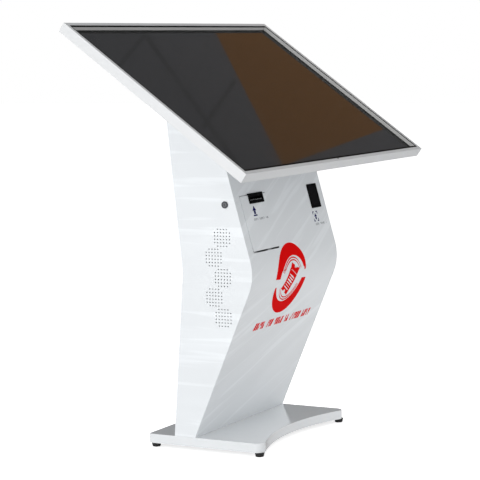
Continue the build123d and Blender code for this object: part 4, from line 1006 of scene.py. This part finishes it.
def inside(point: tuple[float, float], outlines: Sequence[Outline]) -> bool:
    """Whether a point is inside by the even-odd rule.

    Args:
        point: The point.
        outlines: Closed outlines.

    Returns:
        True if it is inside.
    """
    crossings = 0
    for outline in outlines:
        for (x1, y1), (x2, y2) in zip(outline, outline[1:] + outline[:1]):
            if (y1 > point[1]) != (y2 > point[1]):
                if point[0] < (x2 - x1) * (point[1] - y1) / (y2 - y1) + x1:
                    crossings += 1
    return crossings % 2 == 1


@dataclass
class FrontFace:
    """The pedestal's kinked front as a flat sheet: x across, s along the slope from the kink, in mm.

    Attributes:
        kink: The sharp kink's (y, z) in metres.
        upper_lean: Lean of the upper face from upright in degrees.
        lower_lean: Lean of the lower face from upright in degrees.
        clearance: How far outside the face the rays start, in metres.
        film: Height of the print above the paint, in metres.
        skins: The skins read so far, by node.
    """

    kink: tuple[float, float] = (-0.1517, 0.551)
    upper_lean: float = PANEL_LEAN
    lower_lean: float = -23.3
    clearance: float = 0.06
    film: float = 0.00012
    skins: dict[str, Surface] = field(default_factory=dict)

    def _skin(self, node: str) -> Surface:
        """The skin of a node, read once.

        Args:
            node: The CAD node's name.

        Returns:
            Its skin.
        """
        if node not in self.skins:
            self.skins[node] = Surface(node)
        return self.skins[node]

    def lay(self, x: float, s: float, node: str) -> Vector:
        """A point of the sheet laid on a node's skin.

        Args:
            x: Across, in mm.
            s: Along the slope, in mm.
            node: The CAD node that carries the print.

        Returns:
            The point just above the paint, in metres.

        Raises:
            ValueError: If the point misses the node.
        """
        along, out = leaning(self.upper_lean if s > 0 else self.lower_lean)
        rough = Vector((x * MM, self.kink[0], self.kink[1])) + along * (s * MM)
        found = self._skin(node).hit(rough + out * self.clearance, -out)
        if found is None:
            raise ValueError(f"print point {x:.1f}, {s:.1f} misses {node}")
        point, normal = found
        return point + normal * self.film

    def print_on(
        self, name: str, node: str, outlines: Sequence[Outline], material: bpy.types.Material, cell: float = 6.0
    ) -> bpy.types.Object:
        """Lays a filled print on a node as a thin film.

        Args:
            name: The piece's name.
            node: The CAD node that carries it.
            outlines: Closed outlines in (x, s), filled by the even-odd rule.
            material: The print's finish.
            cell: Largest spacing of points along the slope, in mm, so that the film follows a bend.

        Returns:
            The film.
        """
        points: list[Vector] = []
        edges: list[tuple[int, int]] = []
        for outline in outlines:
            first = len(points)
            points += [Vector(point) for point in outline]
            edges += [(first + i, first + (i + 1) % len(outline)) for i in range(len(outline))]
        lows = [min(point[axis] for point in points) for axis in (0, 1)]
        spans = [max(point[axis] for point in points) - lows[axis] for axis in (0, 1)]
        columns, rows = (max(1, int(span / cell)) for span in spans)
        for column in range(1, columns):
            for row in range(1, rows):
                spot = (lows[0] + spans[0] * column / columns, lows[1] + spans[1] * row / rows)
                if inside(spot, outlines):
                    points.append(Vector(spot))
        flat, _, triangles, _, _, _ = delaunay_2d_cdt(points, edges, [], 0, 1e-4)
        kept = []
        for triangle in triangles:
            middle = sum((flat[i] for i in triangle), Vector((0.0, 0.0))) / 3
            if inside((middle.x, middle.y), outlines):
                kept.append(list(triangle))
        used = sorted({index for triangle in kept for index in triangle})
        renumber = {old: new for new, old in enumerate(used)}
        laid = [self.lay(flat[i].x, flat[i].y, node) for i in used]
        piece = mesh_piece(name, laid, [[renumber[i] for i in triangle] for triangle in kept], material)
        self._thicken(piece)
        return piece

    def _thicken(self, piece: bpy.types.Object) -> None:
        """Gives a film its own thickness, down to just above the paint.

        Args:
            piece: The film.
        """
        shell = bmesh.new()
        shell.from_mesh(piece.data)
        for face in shell.faces:
            if face.normal.y > 0:
                face.normal_flip()
        bmesh.ops.solidify(shell, geom=shell.faces[:], thickness=self.film * 0.6)
        bmesh.ops.recalc_face_normals(shell, faces=shell.faces)
        shell.to_mesh(piece.data)
        shell.free()


DIGIT_STROKES = {
    "0": "abcdef", "1": "bc", "2": "abged", "3": "abgcd", "4": "fgbc", "5": "afgcd", "6": "afgedc", "7": "abc",
    "8": "abcdefg", "9": "abcdfg",
}


def digits(
    text: str, height: float, stroke: float, start: tuple[float, float], slant: float, pitch: float
) -> list[Outline]:
    """Numbers drawn with straight strokes, as on a counter.

    Args:
        text: Digits and spaces.
        height: Height of a digit.
        stroke: Thickness of its strokes.
        start: Lower left corner of the line.
        slant: Sideways shear per unit of height.
        pitch: Distance from one digit to the next.

    Returns:
        One outline per stroke; strokes of a digit don't overlap.
    """
    width = pitch * 0.8
    half = height / 2
    bars = {
        "a": (stroke, height - stroke, width - stroke, height),
        "g": (stroke, half - stroke / 2, width - stroke, half + stroke / 2),
        "d": (stroke, 0.0, width - stroke, stroke),
        "f": (0.0, half + 0.1, stroke - 0.05, height),
        "b": (width - stroke + 0.05, half + 0.1, width, height),
        "e": (0.0, 0.0, stroke - 0.05, half - 0.1),
        "c": (width - stroke + 0.05, 0.0, width, half - 0.1),
    }
    outlines = []
    for index, sign in enumerate(text):
        for bar in DIGIT_STROKES.get(sign, ""):
            x1, y1, x2, y2 = bars[bar]
            box = [(x1, y1), (x2, y1), (x2, y2), (x1, y2)]
            outlines.append(placed(box, 0.0, (start[0] + index * pitch, start[1]), slant))
    return outlines


@dataclass
class FrontGraphics:
    """The red emblem and line of numbers, and the two navy hints, on the pedestal's front.

    Attributes:
        emblem_centre: Middle of the emblem in (x, s).
        emblem_size: Its width and height.
        line_start: Lower left corner of the red line of numbers.
        line_height: Height of its digits.
        line_length: Length of the line.
        line_stroke: Thickness of its strokes.
        line_slant: Sideways shear of its digits.
        line_text: Its digits.
        hint_digits: Height and stroke of the small numbers under the hints.
        hint_slant: Their sideways shear.
        door_hint: Middle of the hint on the ticket door.
        scan_hint: Middle of the hint under the scanner.
    """

    emblem_centre: tuple[float, float] = (-26.0, -36.0)
    emblem_size: tuple[float, float] = (230.0, 243.0)
    line_start: tuple[float, float] = (-171.0, -200.5)
    line_height: float = 25.0
    line_length: float = 388.0
    line_stroke: float = 5.6
    line_slant: float = 0.32
    line_text: str = "80246 398 4860 56 23908 6054"
    hint_digits: tuple[float, float] = (6.0, 1.1)
    hint_slant: float = 0.15
    door_hint: tuple[float, float] = (-195.0, 202.0)
    scan_hint: tuple[float, float] = (207.0, 149.0)

    def build(self, face: FrontFace, finishes: Finishes) -> None:
        """Lays every print.

        Args:
            face: The front's flat sheet.
            finishes: The finishes.
        """
        red, navy, grey = (finishes.get(finish) for finish in (Finishes.RED, Finishes.NAVY, Finishes.GREY))
        report(face.print_on("emblem", "front_panel", self._emblem(), red), Body.CABINET)
        pitch = self.line_length / len(self.line_text)
        size = (self.line_height, self.line_stroke)
        line = digits(self.line_text, *size, self.line_start, self.line_slant, pitch)
        report(face.print_on("number_line", "front_panel", line, red), Body.CABINET)
        report(face.print_on("ticket_hint", "printer_door", self._ticket_hint(), navy), Body.DOOR)
        report(face.print_on("scan_hint", "front_panel", self._scan_hint(), navy), Body.CABINET)
        small = digits("1024 5397 48", *self.hint_digits, (-218.0, 173.0), self.hint_slant, 8.4)
        report(face.print_on("ticket_hint_numbers", "printer_door", small, grey), Body.DOOR)
        small = digits("605 7239 1", *self.hint_digits, (194.0, 120.0), self.hint_slant, 7.9)
        report(face.print_on("scan_hint_numbers", "front_panel", small, grey), Body.CABINET)

    def _emblem(self) -> list[Outline]:
        """A queue ticket held between two sweeping strokes.

        Returns:
            The outlines in (x, s).
        """
        half_x, half_s = self.emblem_size[0] / 2, self.emblem_size[1] / 2
        shapes: list[Outline] = []
        for turn in (0, 180):
            shapes.append(placed(swoosh((half_x - 22, half_s - 22), 12, 176, 44), turn, self.emblem_centre))
            for inset in (49, 57):
                stroke = swoosh((half_x - inset, half_s - inset), 22, 160, 4.4)
                shapes.append(placed(stroke, turn, self.emblem_centre))
        width, height, notch = 98.0, 62.0, 8.0
        lower = [(-width / 2, -height / 2), (width / 2, -height / 2)]
        right = arc((width / 2, 0.0), (notch, notch), 270, 90, 10)
        upper = [(width / 2, height / 2), (-width / 2, height / 2)]
        left = arc((-width / 2, 0.0), (notch, notch), 90, -90, 10)
        ticket = [lower + right + upper + left]
        for step in range(7):
            ticket.append(rounded(3.0, 5.0, 1.2, (24.0, -26.0 + step * 8.7)))
        for index, bar in enumerate((3.4, 1.6, 2.6, 4.2, 1.6, 2.8)):
            ticket.append(rounded(bar, 40.0, 0.6, (-34.0 + index * 8.4, 0.0)))
        return shapes + [placed(outline, 62, self.emblem_centre) for outline in ticket]

    def _ticket_hint(self) -> list[Outline]:
        """An arrow that rises out of a slot.

        Returns:
            The outlines in (x, s).
        """
        head = [(-12.0, 1.0), (12.0, 1.0), (0.0, 17.0)]
        stem = rounded(12.0, 10.0, 1.5, (0.0, -4.5))
        slot = rounded(24.0, 4.5, 1.8, (0.0, -13.5))
        return [placed(shape, 0.0, self.door_hint) for shape in (head, stem, slot)]

    def _scan_hint(self) -> list[Outline]:
        """Four sight corners round an arrow.

        Returns:
            The outlines in (x, s).
        """
        head = [(-9.0, -1.0), (9.0, -1.0), (0.0, 11.0)]
        shapes: list[Outline] = [head, rounded(9.0, 9.0, 1.2, (0.0, -6.0))]
        for turn in (0, 90, 180, 270):
            corner = [(17.0, 17.0), (7.0, 17.0), (7.0, 13.5), (13.5, 13.5), (13.5, 7.0), (17.0, 7.0)]
            shapes.append(placed(corner, turn))
        return [placed(shape, 0.0, self.scan_hint) for shape in shapes]


# ---------------------------------------------------------------- fittings
@dataclass
class TearBar:
    """The row of teeth along the slot's lower lip, where a ticket tears off.

    Attributes:
        slot_centre_x: Middle of the slot in metres.
        length: Length of the row.
        pitch: Distance between teeth.
        height: Height of a tooth.
        depth: Thickness of the strip.
        slot_u: Distance of the slot's lower lip from the kink, up the face.
        outset: How far the row stands out from the face.
    """

    slot_centre_x: float = -0.167
    length: float = 0.082
    pitch: float = 0.0024
    height: float = 0.0019
    depth: float = 0.0006
    slot_u: float = 0.2366
    outset: float = 0.0030

    def build(self, tool: NodeTool, face: FrontFace, finishes: Finishes) -> None:
        """Stands the teeth along the lip.

        Args:
            tool: The Geometry Nodes trees.
            face: The front's flat sheet, for its lean.
            finishes: The finishes.
        """
        along, out = leaning(face.upper_lean)
        lip = Vector((self.slot_centre_x, *face.kink)) + along * self.slot_u + out * self.outset
        count = int(self.length / self.pitch)
        spots = []
        for index in range(count):
            offset = (index - (count - 1) / 2) * self.pitch
            spots.append((lip + Vector((offset, 0.0, 0.0)), along))
        half, low, deep = self.pitch / 2, -0.0008, self.depth / 2
        tooth = [(-half, low), (half, low), (half, 0.0), (0.0, self.height), (-half, 0.0)]
        front = [(x, -deep, z) for x, z in tooth]
        back = [(x, deep, z) for x, _, z in front]
        faces = [[0, 1, 2, 3, 4], [9, 8, 7, 6, 5]]
        faces += [[i, i + 5, (i + 1) % 5 + 5, (i + 1) % 5] for i in range(5)]
        shape = ([Vector(point) for point in front + back], faces)
        piece = tool.scatter("tear_bar_teeth", spots, shape, finishes.get(Finishes.STEEL))
        report(piece, Body.DOOR)


@dataclass
class FanGuard:
    """The round-wire finger guard over the cooling fan, in place of the CAD's square one.

    Attributes:
        wire: Radius of the wire in metres.
        rings: Number of rings.
        spokes: Number of radial wires.
        lean: Lean of the upper rear face in degrees.
    """

    wire: float = 0.0009
    rings: int = 4
    spokes: int = 4
    lean: float = REAR_LEAN

    def build(self, tool: NodeTool, finishes: Finishes) -> None:
        """Makes the rings and the radial wires.

        Args:
            tool: The Geometry Nodes trees.
            finishes: The finishes.
        """
        low, high = (Vector(corner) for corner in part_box("fan_guard"))
        centre = (low + high) / 2
        reach = (high.x - low.x) / 2 - self.wire
        up, forward = leaning(self.lean)
        across = Vector((1.0, 0.0, 0.0))
        wires = tool.rings(
            "fan_guard_rings",
            {
                "Rings": self.rings,
                "Spacing": reach / self.rings,
                "Wire": self.wire,
                "Centre": tuple(centre),
                "Turn": (math.pi / 2 + math.radians(self.lean), 0.0, 0.0),
                "Finish": finishes.get(Finishes.CHROME),
            },
        )
        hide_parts("fan_guard")
        report(wires, Body.CABINET)
        spokes = []
        for index in range(self.spokes):
            angle = math.pi / 4 + math.pi * index / 2
            ray = across * math.cos(angle) + up * math.sin(angle)
            start = centre + ray * (reach / self.rings) + forward * self.wire
            end = centre + ray * (reach + self.wire) + forward * self.wire
            length = (end - start).length
            profile = [(0.0, 0.0), (self.wire, 0.0), (self.wire, length), (0.0, length)]
            spokes.append(lathe(profile, start, ray, 12))
        radial = mesh_piece("fan_guard_spokes", *joined(spokes), finishes.get(Finishes.CHROME))
        tidy_normals(radial)
        smooth(radial)
        report(radial, Body.CABINET)


@dataclass
class RubberFeet:
    """Turned rubber feet with grooves, in place of the CAD's plain cones.

    Attributes:
        grooves: Number of grooves up the side.
        groove_depth: Depth of each in metres.
        seat_radius: Radius of the bolt head's seat.
        seat_depth: Depth of the seat.
        bore_radius: Radius of the bolt's hole.
        top_radius: Radius under the base.
        bottom_radius: Radius at the floor.
        edge: Size of the broken edges.
    """

    grooves: int = 3
    groove_depth: float = 0.0006
    seat_radius: float = 0.0076
    seat_depth: float = 0.006
    bore_radius: float = 0.0041
    top_radius: float = 0.0155
    bottom_radius: float = 0.0125
    edge: float = 0.0008

    def build(self, finishes: Finishes) -> None:
        """Turns the four feet.

        Args:
            finishes: The finishes.
        """
        low, high = (Vector(corner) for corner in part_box("rubber_feet"))
        height = high.z - low.z
        profile = [(self.seat_radius, low.z), (self.bottom_radius - self.edge, low.z)]
        profile.append((self.bottom_radius, low.z + self.edge))
        for index in range(self.grooves):
            level = low.z + height * (index + 1) / (self.grooves + 1)
            radius = self.bottom_radius + (self.top_radius - self.bottom_radius) * (level - low.z) / height
            for shift, cut in ((-0.0007, 0.0), (-0.0004, 1.0), (0.0004, 1.0), (0.0007, 0.0)):
                profile.append((radius - cut * self.groove_depth, level + shift))
        profile += [(self.top_radius, high.z - self.edge), (self.top_radius - self.edge / 2, high.z)]
        profile += [(self.bore_radius, high.z), (self.bore_radius, low.z + self.seat_depth)]
        profile.append((self.seat_radius, low.z + self.seat_depth))
        turned = []
        inset = self.top_radius
        for x in (low.x + inset, high.x - inset):
            for y in (low.y + inset, high.y - inset):
                turned.append(lathe(profile, Vector((x, y, 0.0)), Vector((0.0, 0.0, 1.0)), 40))
        feet = mesh_piece("turned_feet", *joined(turned), finishes.get(Finishes.RUBBER))
        tidy_normals(feet)
        smooth(feet)
        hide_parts("rubber_feet")
        report(feet, Body.CABINET)


@dataclass
class BoardParts:
    """Small parts soldered on the display's driver board.

    Attributes:
        pitch: Grid pitch of the parts in metres.
        margin: Free border of the board.
        share: Share of the board's height that carries parts.
        size: Width, length and height of one part.
    """

    pitch: float = 0.0125
    margin: float = 0.012
    share: float = 0.72
    size: tuple[float, float, float] = (0.0052, 0.0034, 0.0016)

    def build(self, tool: NodeTool, finishes: Finishes) -> None:
        """Stands the parts on the side of the board that faces the rear cover.

        Args:
            tool: The Geometry Nodes trees.
            finishes: The finishes.
        """
        skin = Surface("display_board")
        low, high = (Vector(corner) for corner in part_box("display_board"))
        down = -HEAD_OUT
        centre = (low + high) / 2
        half_x = (high.x - low.x) / 2 - self.margin
        half_s = (high.z - low.z) / 2 / math.sin(math.radians(HEAD_TILT)) * self.share - self.margin
        spots = []
        for column in range(int(2 * half_x / self.pitch) + 1):
            for row in range(int(2 * half_s / self.pitch) + 1):
                if (column * 7 + row * 5) % 4 == 0:
                    continue
                start = centre + Vector((-half_x + column * self.pitch, 0.0, 0.0))
                start += HEAD_SLOPE * (-half_s + row * self.pitch)
                found = skin.hit(start + down * 0.03, -down)
                if found and found[1].dot(down) > 0.9:
                    spots.append((found[0], down))
        wide, long, tall = self.size
        corners = [(x * wide / 2, y * long / 2) for x, y in ((-1, -1), (1, -1), (1, 1), (-1, 1))]
        inner = [(x * 0.86, y * 0.8) for x, y in corners]
        points = [Vector((x, y, 0.0)) for x, y in corners] + [Vector((x, y, tall * 0.7)) for x, y in corners]
        points += [Vector((x, y, tall)) for x, y in inner]
        faces = [[3, 2, 1, 0], [8, 9, 10, 11]]
        for ring in (0, 4):
            faces += [[ring + i, ring + (i + 1) % 4, ring + 4 + (i + 1) % 4, ring + 4 + i] for i in range(4)]
        piece = tool.scatter("board_parts", spots, (points, faces), finishes.get(Finishes.BLACK))
        report(piece, Body.CABINET)


@dataclass
class RatingPlate:
    """The small metal plate with numbers on the pedestal's back.

    Attributes:
        centre: Middle of the plate in (x, s) of the upper rear face, in mm.
        size: Width and height in mm.
        kink: The rear kink's (y, z) in metres.
        lean: Lean of the upper rear face in degrees.
        lift: Height of the plate's lower side above the face in metres.
        thickness: Thickness of the plate in metres.
    """

    centre: tuple[float, float] = (150.0, 170.0)
    size: tuple[float, float] = (88.0, 46.0)
    kink: tuple[float, float] = (0.0996, 0.563)
    lean: float = REAR_LEAN
    lift: float = 0.0002
    thickness: float = 0.0004

    def build(self, finishes: Finishes) -> None:
        """Makes the plate and prints the numbers on it.

        Args:
            finishes: The finishes.
        """
        outline = rounded(*self.size, 3.0)
        metal = finishes.get(Finishes.ALUMINIUM)
        plate = self._slab("rating_plate", [outline], self.lift, self.thickness, metal)
        report(plate, Body.CABINET)
        lines = digits("4086 17 2359", 5.0, 0.8, (-38.0, 12.0), 0.0, 6.2)
        lines += digits("230 50 180", 4.0, 0.7, (-38.0, 3.5), 0.0, 5.0)
        lines += digits("03 2024", 4.0, 0.7, (-38.0, -4.5), 0.0, 5.0)
        for index in range(22):
            wide = 0.7 + 0.5 * ((index * 5) % 3)
            lines.append(rounded(wide, 9.0, 0.2, (-37.0 + index * 3.5, -14.5)))
        high = self.lift + self.thickness
        ink = self._slab("rating_plate_ink", lines, high, 0.00005, finishes.get(Finishes.BLACK))
        report(ink, Body.CABINET)

    def _slab(
        self, name: str, outlines: Sequence[Outline], lift: float, thick: float, material: bpy.types.Material
    ) -> bpy.types.Object:
        """Raises outlines from the rear face.

        Args:
            name: The piece's name.
            outlines: Closed outlines in mm about the plate's middle.
            lift: Height of the lower side above the face in metres.
            thick: Thickness in metres.
            material: Its material.

        Returns:
            The piece.
        """
        points: list[Vector] = []
        faces: list[list[int]] = []
        up, forward = leaning(self.lean)
        origin = Vector((self.centre[0] * MM, *self.kink)) + up * (self.centre[1] * MM)
        for outline in outlines:
            first, count = len(points), len(outline)
            for level in (lift, lift + thick):
                for x, s in outline:
                    points.append(origin + Vector((-x * MM, 0.0, 0.0)) + up * (s * MM) - forward * level)
            faces.append([first + i for i in range(count)][::-1])
            faces.append([first + count + i for i in range(count)])
            faces += [
                [first + i, first + (i + 1) % count, first + count + (i + 1) % count, first + count + i]
                for i in range(count)
            ]
        piece = mesh_piece(name, points, faces, material)
        tidy_normals(piece, 1e-8)
        return piece


# ---------------------------------------------------------------- studio
@dataclass(frozen=True)
class Card:
    """A flat glowing card that only shows as a reflection.

    Attributes:
        name: Its name.
        corners: Its corners in metres, in the cards' own plane.
        depth: How far in front of that plane it stands.
        colour: Linear colour of its light.
    """

    name: str
    corners: tuple[tuple[float, float], ...]
    depth: float
    colour: Colour


@dataclass
class Studio:
    """Floor, world, lights, reflection cards and camera.

    Attributes:
        floor_size: Half the floor's width in metres.
        floor_glow: The floor's own light, seen by the camera only.
        sky: The sky's level, and what it gains on the camera's side, in front and overhead.
        cards: The reflected cards.
        seams: Start and end of each dark strip in the cards' plane.
        lamps: Name, size, power, place and target of each soft light.
        seam_width: Width of those strips in metres.
        seam_colour: Linear colour of their light.
        screen_centre: Middle of the glass.
        mirror_way: Direction in which the glass mirrors the view.
        card_distance: Distance of the cards' plane from the glass.
        eye: The camera's place.
        azimuth: Heading of the view from +Y towards +X in degrees.
        dip: Angle of the view below level in degrees.
        roll: Roll of the camera in degrees.
        lens: Focal length in mm on a 36 mm sensor.
    """

    floor_size: float = 30.0
    floor_glow: float = 0.72
    sky: tuple[float, float, float, float] = (0.42, 0.54, 0.27, -0.26)
    eye: tuple[float, float, float] = (-5.1388, -2.7245, 1.2488)
    azimuth: float = 61.557
    dip: float = 6.034
    roll: float = -0.997
    lens: float = 136.98
    screen_centre: tuple[float, float, float] = (0.0, -0.0050, 1.1056)
    mirror_way: tuple[float, float, float] = (0.8796, 0.1219, 0.4597)
    card_distance: float = 3.0
    cards: tuple[Card, ...] = (
        Card("room_card", ((-2.6, -2.6), (2.6, -2.6), (2.6, 2.6), (-2.6, 2.6)), 0.0, (0.108, 0.108, 0.114)),
        Card(
            "door_card", ((-0.39, -1.6), (1.2, -1.6), (1.2, 0.14), (-0.375, -0.035)), 0.02,
            (0.175, 0.095, 0.046),
        ),
    )
    seams: tuple[tuple[tuple[float, float], tuple[float, float]], ...] = (
        ((-0.38, 0.145), (0.45, 0.365)),
        ((-0.07, 0.26), (0.09, 0.035)),
        ((0.447, 0.361), (0.3, 0.62)),
    )
    lamps: tuple[tuple, ...] = (
        ("side_softbox", (4.0, 3.2), 118.0, (-5.6, 0.9, 1.3), (0.0, 0.0, 0.7)),
        ("front_softbox", (1.6, 0.5), 2.5, (0.5, -1.5, 0.2), (0.0, -0.1, 0.1)),
        ("base_softbox", (0.9, 0.9), 7.0, (1.6, 0.2, 0.9), (0.3, -0.1, 0.1)),
    )
    seam_width: float = 0.022
    seam_colour: Colour = (0.088, 0.088, 0.092)

    def build(self) -> None:
        """Sets up everything that isn't the object."""
        self._floor()
        self._world()
        self._lights()
        self._cards()
        self._camera()
        scene = bpy.context.scene
        scene.view_settings.view_transform = "Standard"
        scene.view_settings.look = "None"

    def _floor(self) -> None:
        """A wide pale floor that reads white from the camera but takes soft shadows."""
        made = bpy.data.materials.new("Pale floor")
        made.use_nodes = True
        build = TreeBuilder(made.node_tree)
        shader = made.node_tree.nodes["Principled BSDF"]
        shader.inputs["Base Color"].default_value = (0.86, 0.86, 0.86, 1.0)
        shader.inputs["Roughness"].default_value = 0.9
        shader.inputs["Specular IOR Level"].default_value = 0.1
        seen = build.node("ShaderNodeLightPath").outputs["Is Camera Ray"]
        made.node_tree.links.new(build.maths("MULTIPLY", seen, self.floor_glow), shader.inputs["Emission Strength"])
        shader.inputs["Emission Color"].default_value = (1.0, 1.0, 1.0, 1.0)
        half = self.floor_size
        corners = [Vector((x * half, y * half, -0.0005)) for x, y in ((-1, -1), (1, -1), (1, 1), (-1, 1))]
        floor = mesh_piece("floor", corners, [[0, 1, 2, 3]], made)

    def _world(self) -> None:
        """A plain sky, brightest on the side that the camera stands on and dimmer overhead."""
        world = bpy.data.worlds.new("Studio")
        bpy.context.scene.world = world
        world.use_nodes = True
        build = TreeBuilder(world.node_tree)
        way = build.node("ShaderNodeTexCoord").outputs["Generated"]
        parts = build.node("ShaderNodeSeparateXYZ", {0: way})
        side = build.band(parts.outputs["X"], 0.35, -0.75)
        front = build.band(parts.outputs["Y"], 0.1, -0.8)
        top = build.band(parts.outputs["Z"], 0.0, 1.0)
        base, side_gain, front_gain, top_gain = self.sky
        level = build.maths("MULTIPLY_ADD", front, front_gain, base)
        level = build.maths("MULTIPLY_ADD", side, side_gain, level)
        dimmed = build.maths("MULTIPLY", level, build.maths("MULTIPLY_ADD", top, top_gain, 1.0))
        tint = build.mix(dimmed, (0.0, 0.0, 0.0), (1.0, 1.0, 1.0))
        shown = build.mix(build.node("ShaderNodeLightPath").outputs["Is Camera Ray"], tint, (1.0, 1.0, 1.0))
        ground = world.node_tree.nodes["Background"]
        world.node_tree.links.new(shown, ground.inputs["Color"])
        ground.inputs["Strength"].default_value = 1.0

    def _lights(self) -> None:
        """A wide soft light on the object's left, a weak one low in front of it and one over its base."""
        for name, size, energy, place, target in self.lamps:
            light = bpy.data.lights.new(name, "AREA")
            light.shape = "RECTANGLE"
            light.size, light.size_y = size
            light.energy = energy
            lamp = bpy.data.objects.new(name, light)
            lamp.location = place
            lamp.visible_glossy = lamp.visible_transmission = name == "side_softbox"
            aim = Vector(target) - Vector(place)
            lamp.rotation_euler = aim.to_track_quat("-Z", "Y").to_euler()
            bpy.context.scene.collection.objects.link(lamp)

    def _cards(self) -> None:
        """The dim room that the display mirrors."""
        way = Vector(self.mirror_way).normalized()
        across = Vector((0.0, 0.0, 1.0)).cross(way).normalized()
        rise = way.cross(across)
        origin = Vector(self.screen_centre) + way * self.card_distance
        for card in (*self.cards, *self._seam_cards()):
            made = bpy.data.materials.new(card.name)
            made.use_nodes = True
            shader = made.node_tree.nodes["Principled BSDF"]
            shader.inputs["Base Color"].default_value = (0.0, 0.0, 0.0, 1.0)
            shader.inputs["Specular IOR Level"].default_value = 0.0
            shader.inputs["Emission Color"].default_value = (*card.colour, 1.0)
            shader.inputs["Emission Strength"].default_value = 1.0
            corners = [origin + across * x + rise * y - way * card.depth for x, y in card.corners]
            piece = mesh_piece(card.name, corners, [[0, 1, 2, 3]], made)
            piece.visible_camera = False
            piece.visible_diffuse = False
            piece.visible_shadow = False

    def _seam_cards(self) -> list[Card]:
        """Thin darker strips, like the frames of a glazed room.

        Returns:
            One card per seam.
        """
        made = []
        for index, (start, end) in enumerate(self.seams):
            along = Vector(end) - Vector(start)
            side = Vector((-along.y, along.x)).normalized() * self.seam_width / 2
            ends = (Vector(start), Vector(end))
            corners = (ends[0] + side, ends[0] - side, ends[1] - side, ends[1] + side)
            pairs = tuple((corner.x, corner.y) for corner in corners)
            made.append(Card(f"seam_card_{index}", pairs, 0.01, self.seam_colour))
        return made

    def _camera(self) -> None:
        """The camera at the view's own angle."""
        heading, dip, roll = (math.radians(angle) for angle in (self.azimuth, self.dip, self.roll))
        look = Vector((math.sin(heading) * math.cos(dip), math.cos(heading) * math.cos(dip), -math.sin(dip)))
        right = Vector((math.cos(heading), -math.sin(heading), 0.0))
        up = right.cross(look)
        rolled_right = right * math.cos(roll) + up * math.sin(roll)
        rolled_up = up * math.cos(roll) - right * math.sin(roll)
        data = bpy.data.cameras.new("camera")
        data.lens = self.lens
        data.sensor_width = 36.0
        camera = bpy.data.objects.new("camera", data)
        turn = Matrix((rolled_right, rolled_up, -look)).transposed()
        camera.matrix_world = Matrix.Translation(self.eye) @ turn.to_4x4()
        bpy.context.scene.collection.objects.link(camera)
        bpy.context.scene.camera = camera


def main() -> None:
    """Builds the visual model class by class."""
    logging.basicConfig(level=logging.INFO, format="%(message)s")
    finishes = Finishes()
    finishes.dress_nodes()
    tool = NodeTool()
    face = FrontFace()
    FrontGraphics().build(face, finishes)
    TearBar().build(tool, face, finishes)
    FanGuard().build(tool, finishes)
    RubberFeet().build(finishes)
    BoardParts().build(tool, finishes)
    RatingPlate().build(finishes)
    Studio().build()


if __name__ == "__main__":
    main()
